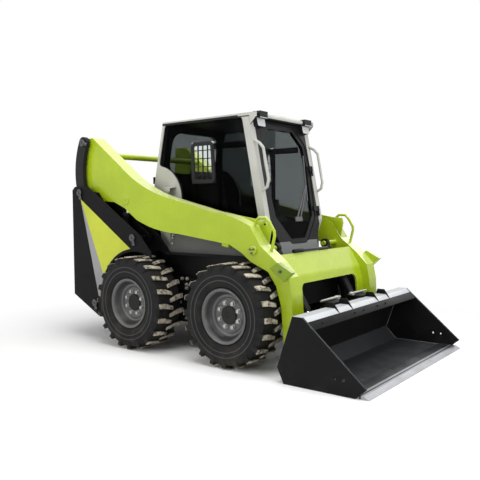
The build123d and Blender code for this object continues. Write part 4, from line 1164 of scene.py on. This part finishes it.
# The welds between the side plates and the shell, ground smooth and rubbed bright by the load.
weld_radius = 0.005
weld_face = lip_half - 0.001
weld_path = ((1.62, 0.012), (1.207, 0.012), (1.106, 0.113), (1.228, 0.468))
welds = []
for (x0, z0), (x1, z1) in zip(weld_path, weld_path[1:]):
    start = Vector((wheel_middle + x0, -weld_face, z0))
    run = Vector((wheel_middle + x1, -weld_face, z1)) - start
    only(nodes["chassis"])
    bpy.ops.mesh.primitive_cylinder_add(vertices=10, radius=weld_radius, depth=run.length,
                                        location=start + run / 2,
                                        rotation=run.to_track_quat("Z", "Y").to_euler())
    welds.append(named("bucket_welds"))
weld_steel = painted("weld_steel", (0.12, 0.122, 0.125), grey(0.3), 0.45, grain=(90.0, 0.5))
settle(both_sides(join(welds)), weld_steel, "loader_bucket")

# Two ribs on each side tie the lip to the quick attach's latch shelf.
rib_top = bucket_high.z + 0.042
rib_outline = (
    (1.215, bucket_high.z), (1.228, rib_top), (1.292, rib_top),
    (1.345, bucket_high.z - 0.034), (1.306, bucket_high.z),
)
ribs = [upright("lip_ribs", y, rib_outline, 0.012, plate_edge) for y in (-0.46, -0.24)]
settle(both_sides(join(ribs)), attach_paint, "loader_bucket")

# One bracket frame: a shelf on two legs that stand on the bucket's back, with a latch lever on top.
shelf_z = bucket_high.z + 0.008
shelf_thick = 0.01
shelf_rear = 1.10
shelf_front = 1.232
shelf = cut_plate("latch_shelves", [
    (wheel_middle + shelf_rear, -0.335, shelf_z),
    (wheel_middle + shelf_front, -0.315, shelf_z),
    (wheel_middle + shelf_front, -0.135, shelf_z),
    (wheel_middle + shelf_rear, -0.115, shelf_z),
], (0, 0, shelf_thick))
soften(shelf, plate_edge)
leg_outline = (
    (shelf_rear + 0.005, shelf_z), (shelf_front - 0.005, shelf_z),
    (1.205, 0.425), (1.18, 0.36), (1.15, 0.36),
)
legs = [upright("latch_leg", y, leg_outline, 0.01, plate_edge) for y in (-0.32, -0.14)]
settle(both_sides(join([shelf] + legs)), attach_paint, "loader_bucket")
lever_x = wheel_middle + shelf_rear + 0.045
lever = ring("latch_levers", (
    (0.085, pole), (0.085, 0.01), (0.1, 0.0125), (0.25, 0.0115),
    (0.37, 0.009), (0.395, 0.007), (0.395, pole),
), steps=20)
lever.location = (lever_x, 0, shelf_z + 0.0225)
latch_boss = ((0.0, pole), (0.0, 0.024), (0.02, 0.024), (0.026, 0.018), (0.026, pole))
boss = ring("latch_boss", latch_boss, steps=28)
boss.rotation_euler.x = -pi / 2
boss.location = (lever_x, -0.13, shelf_z + shelf_thick)
settle(both_sides(join([lever, boss])), zinc, "loader_bucket")


# The box of the dressed model.
low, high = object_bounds()
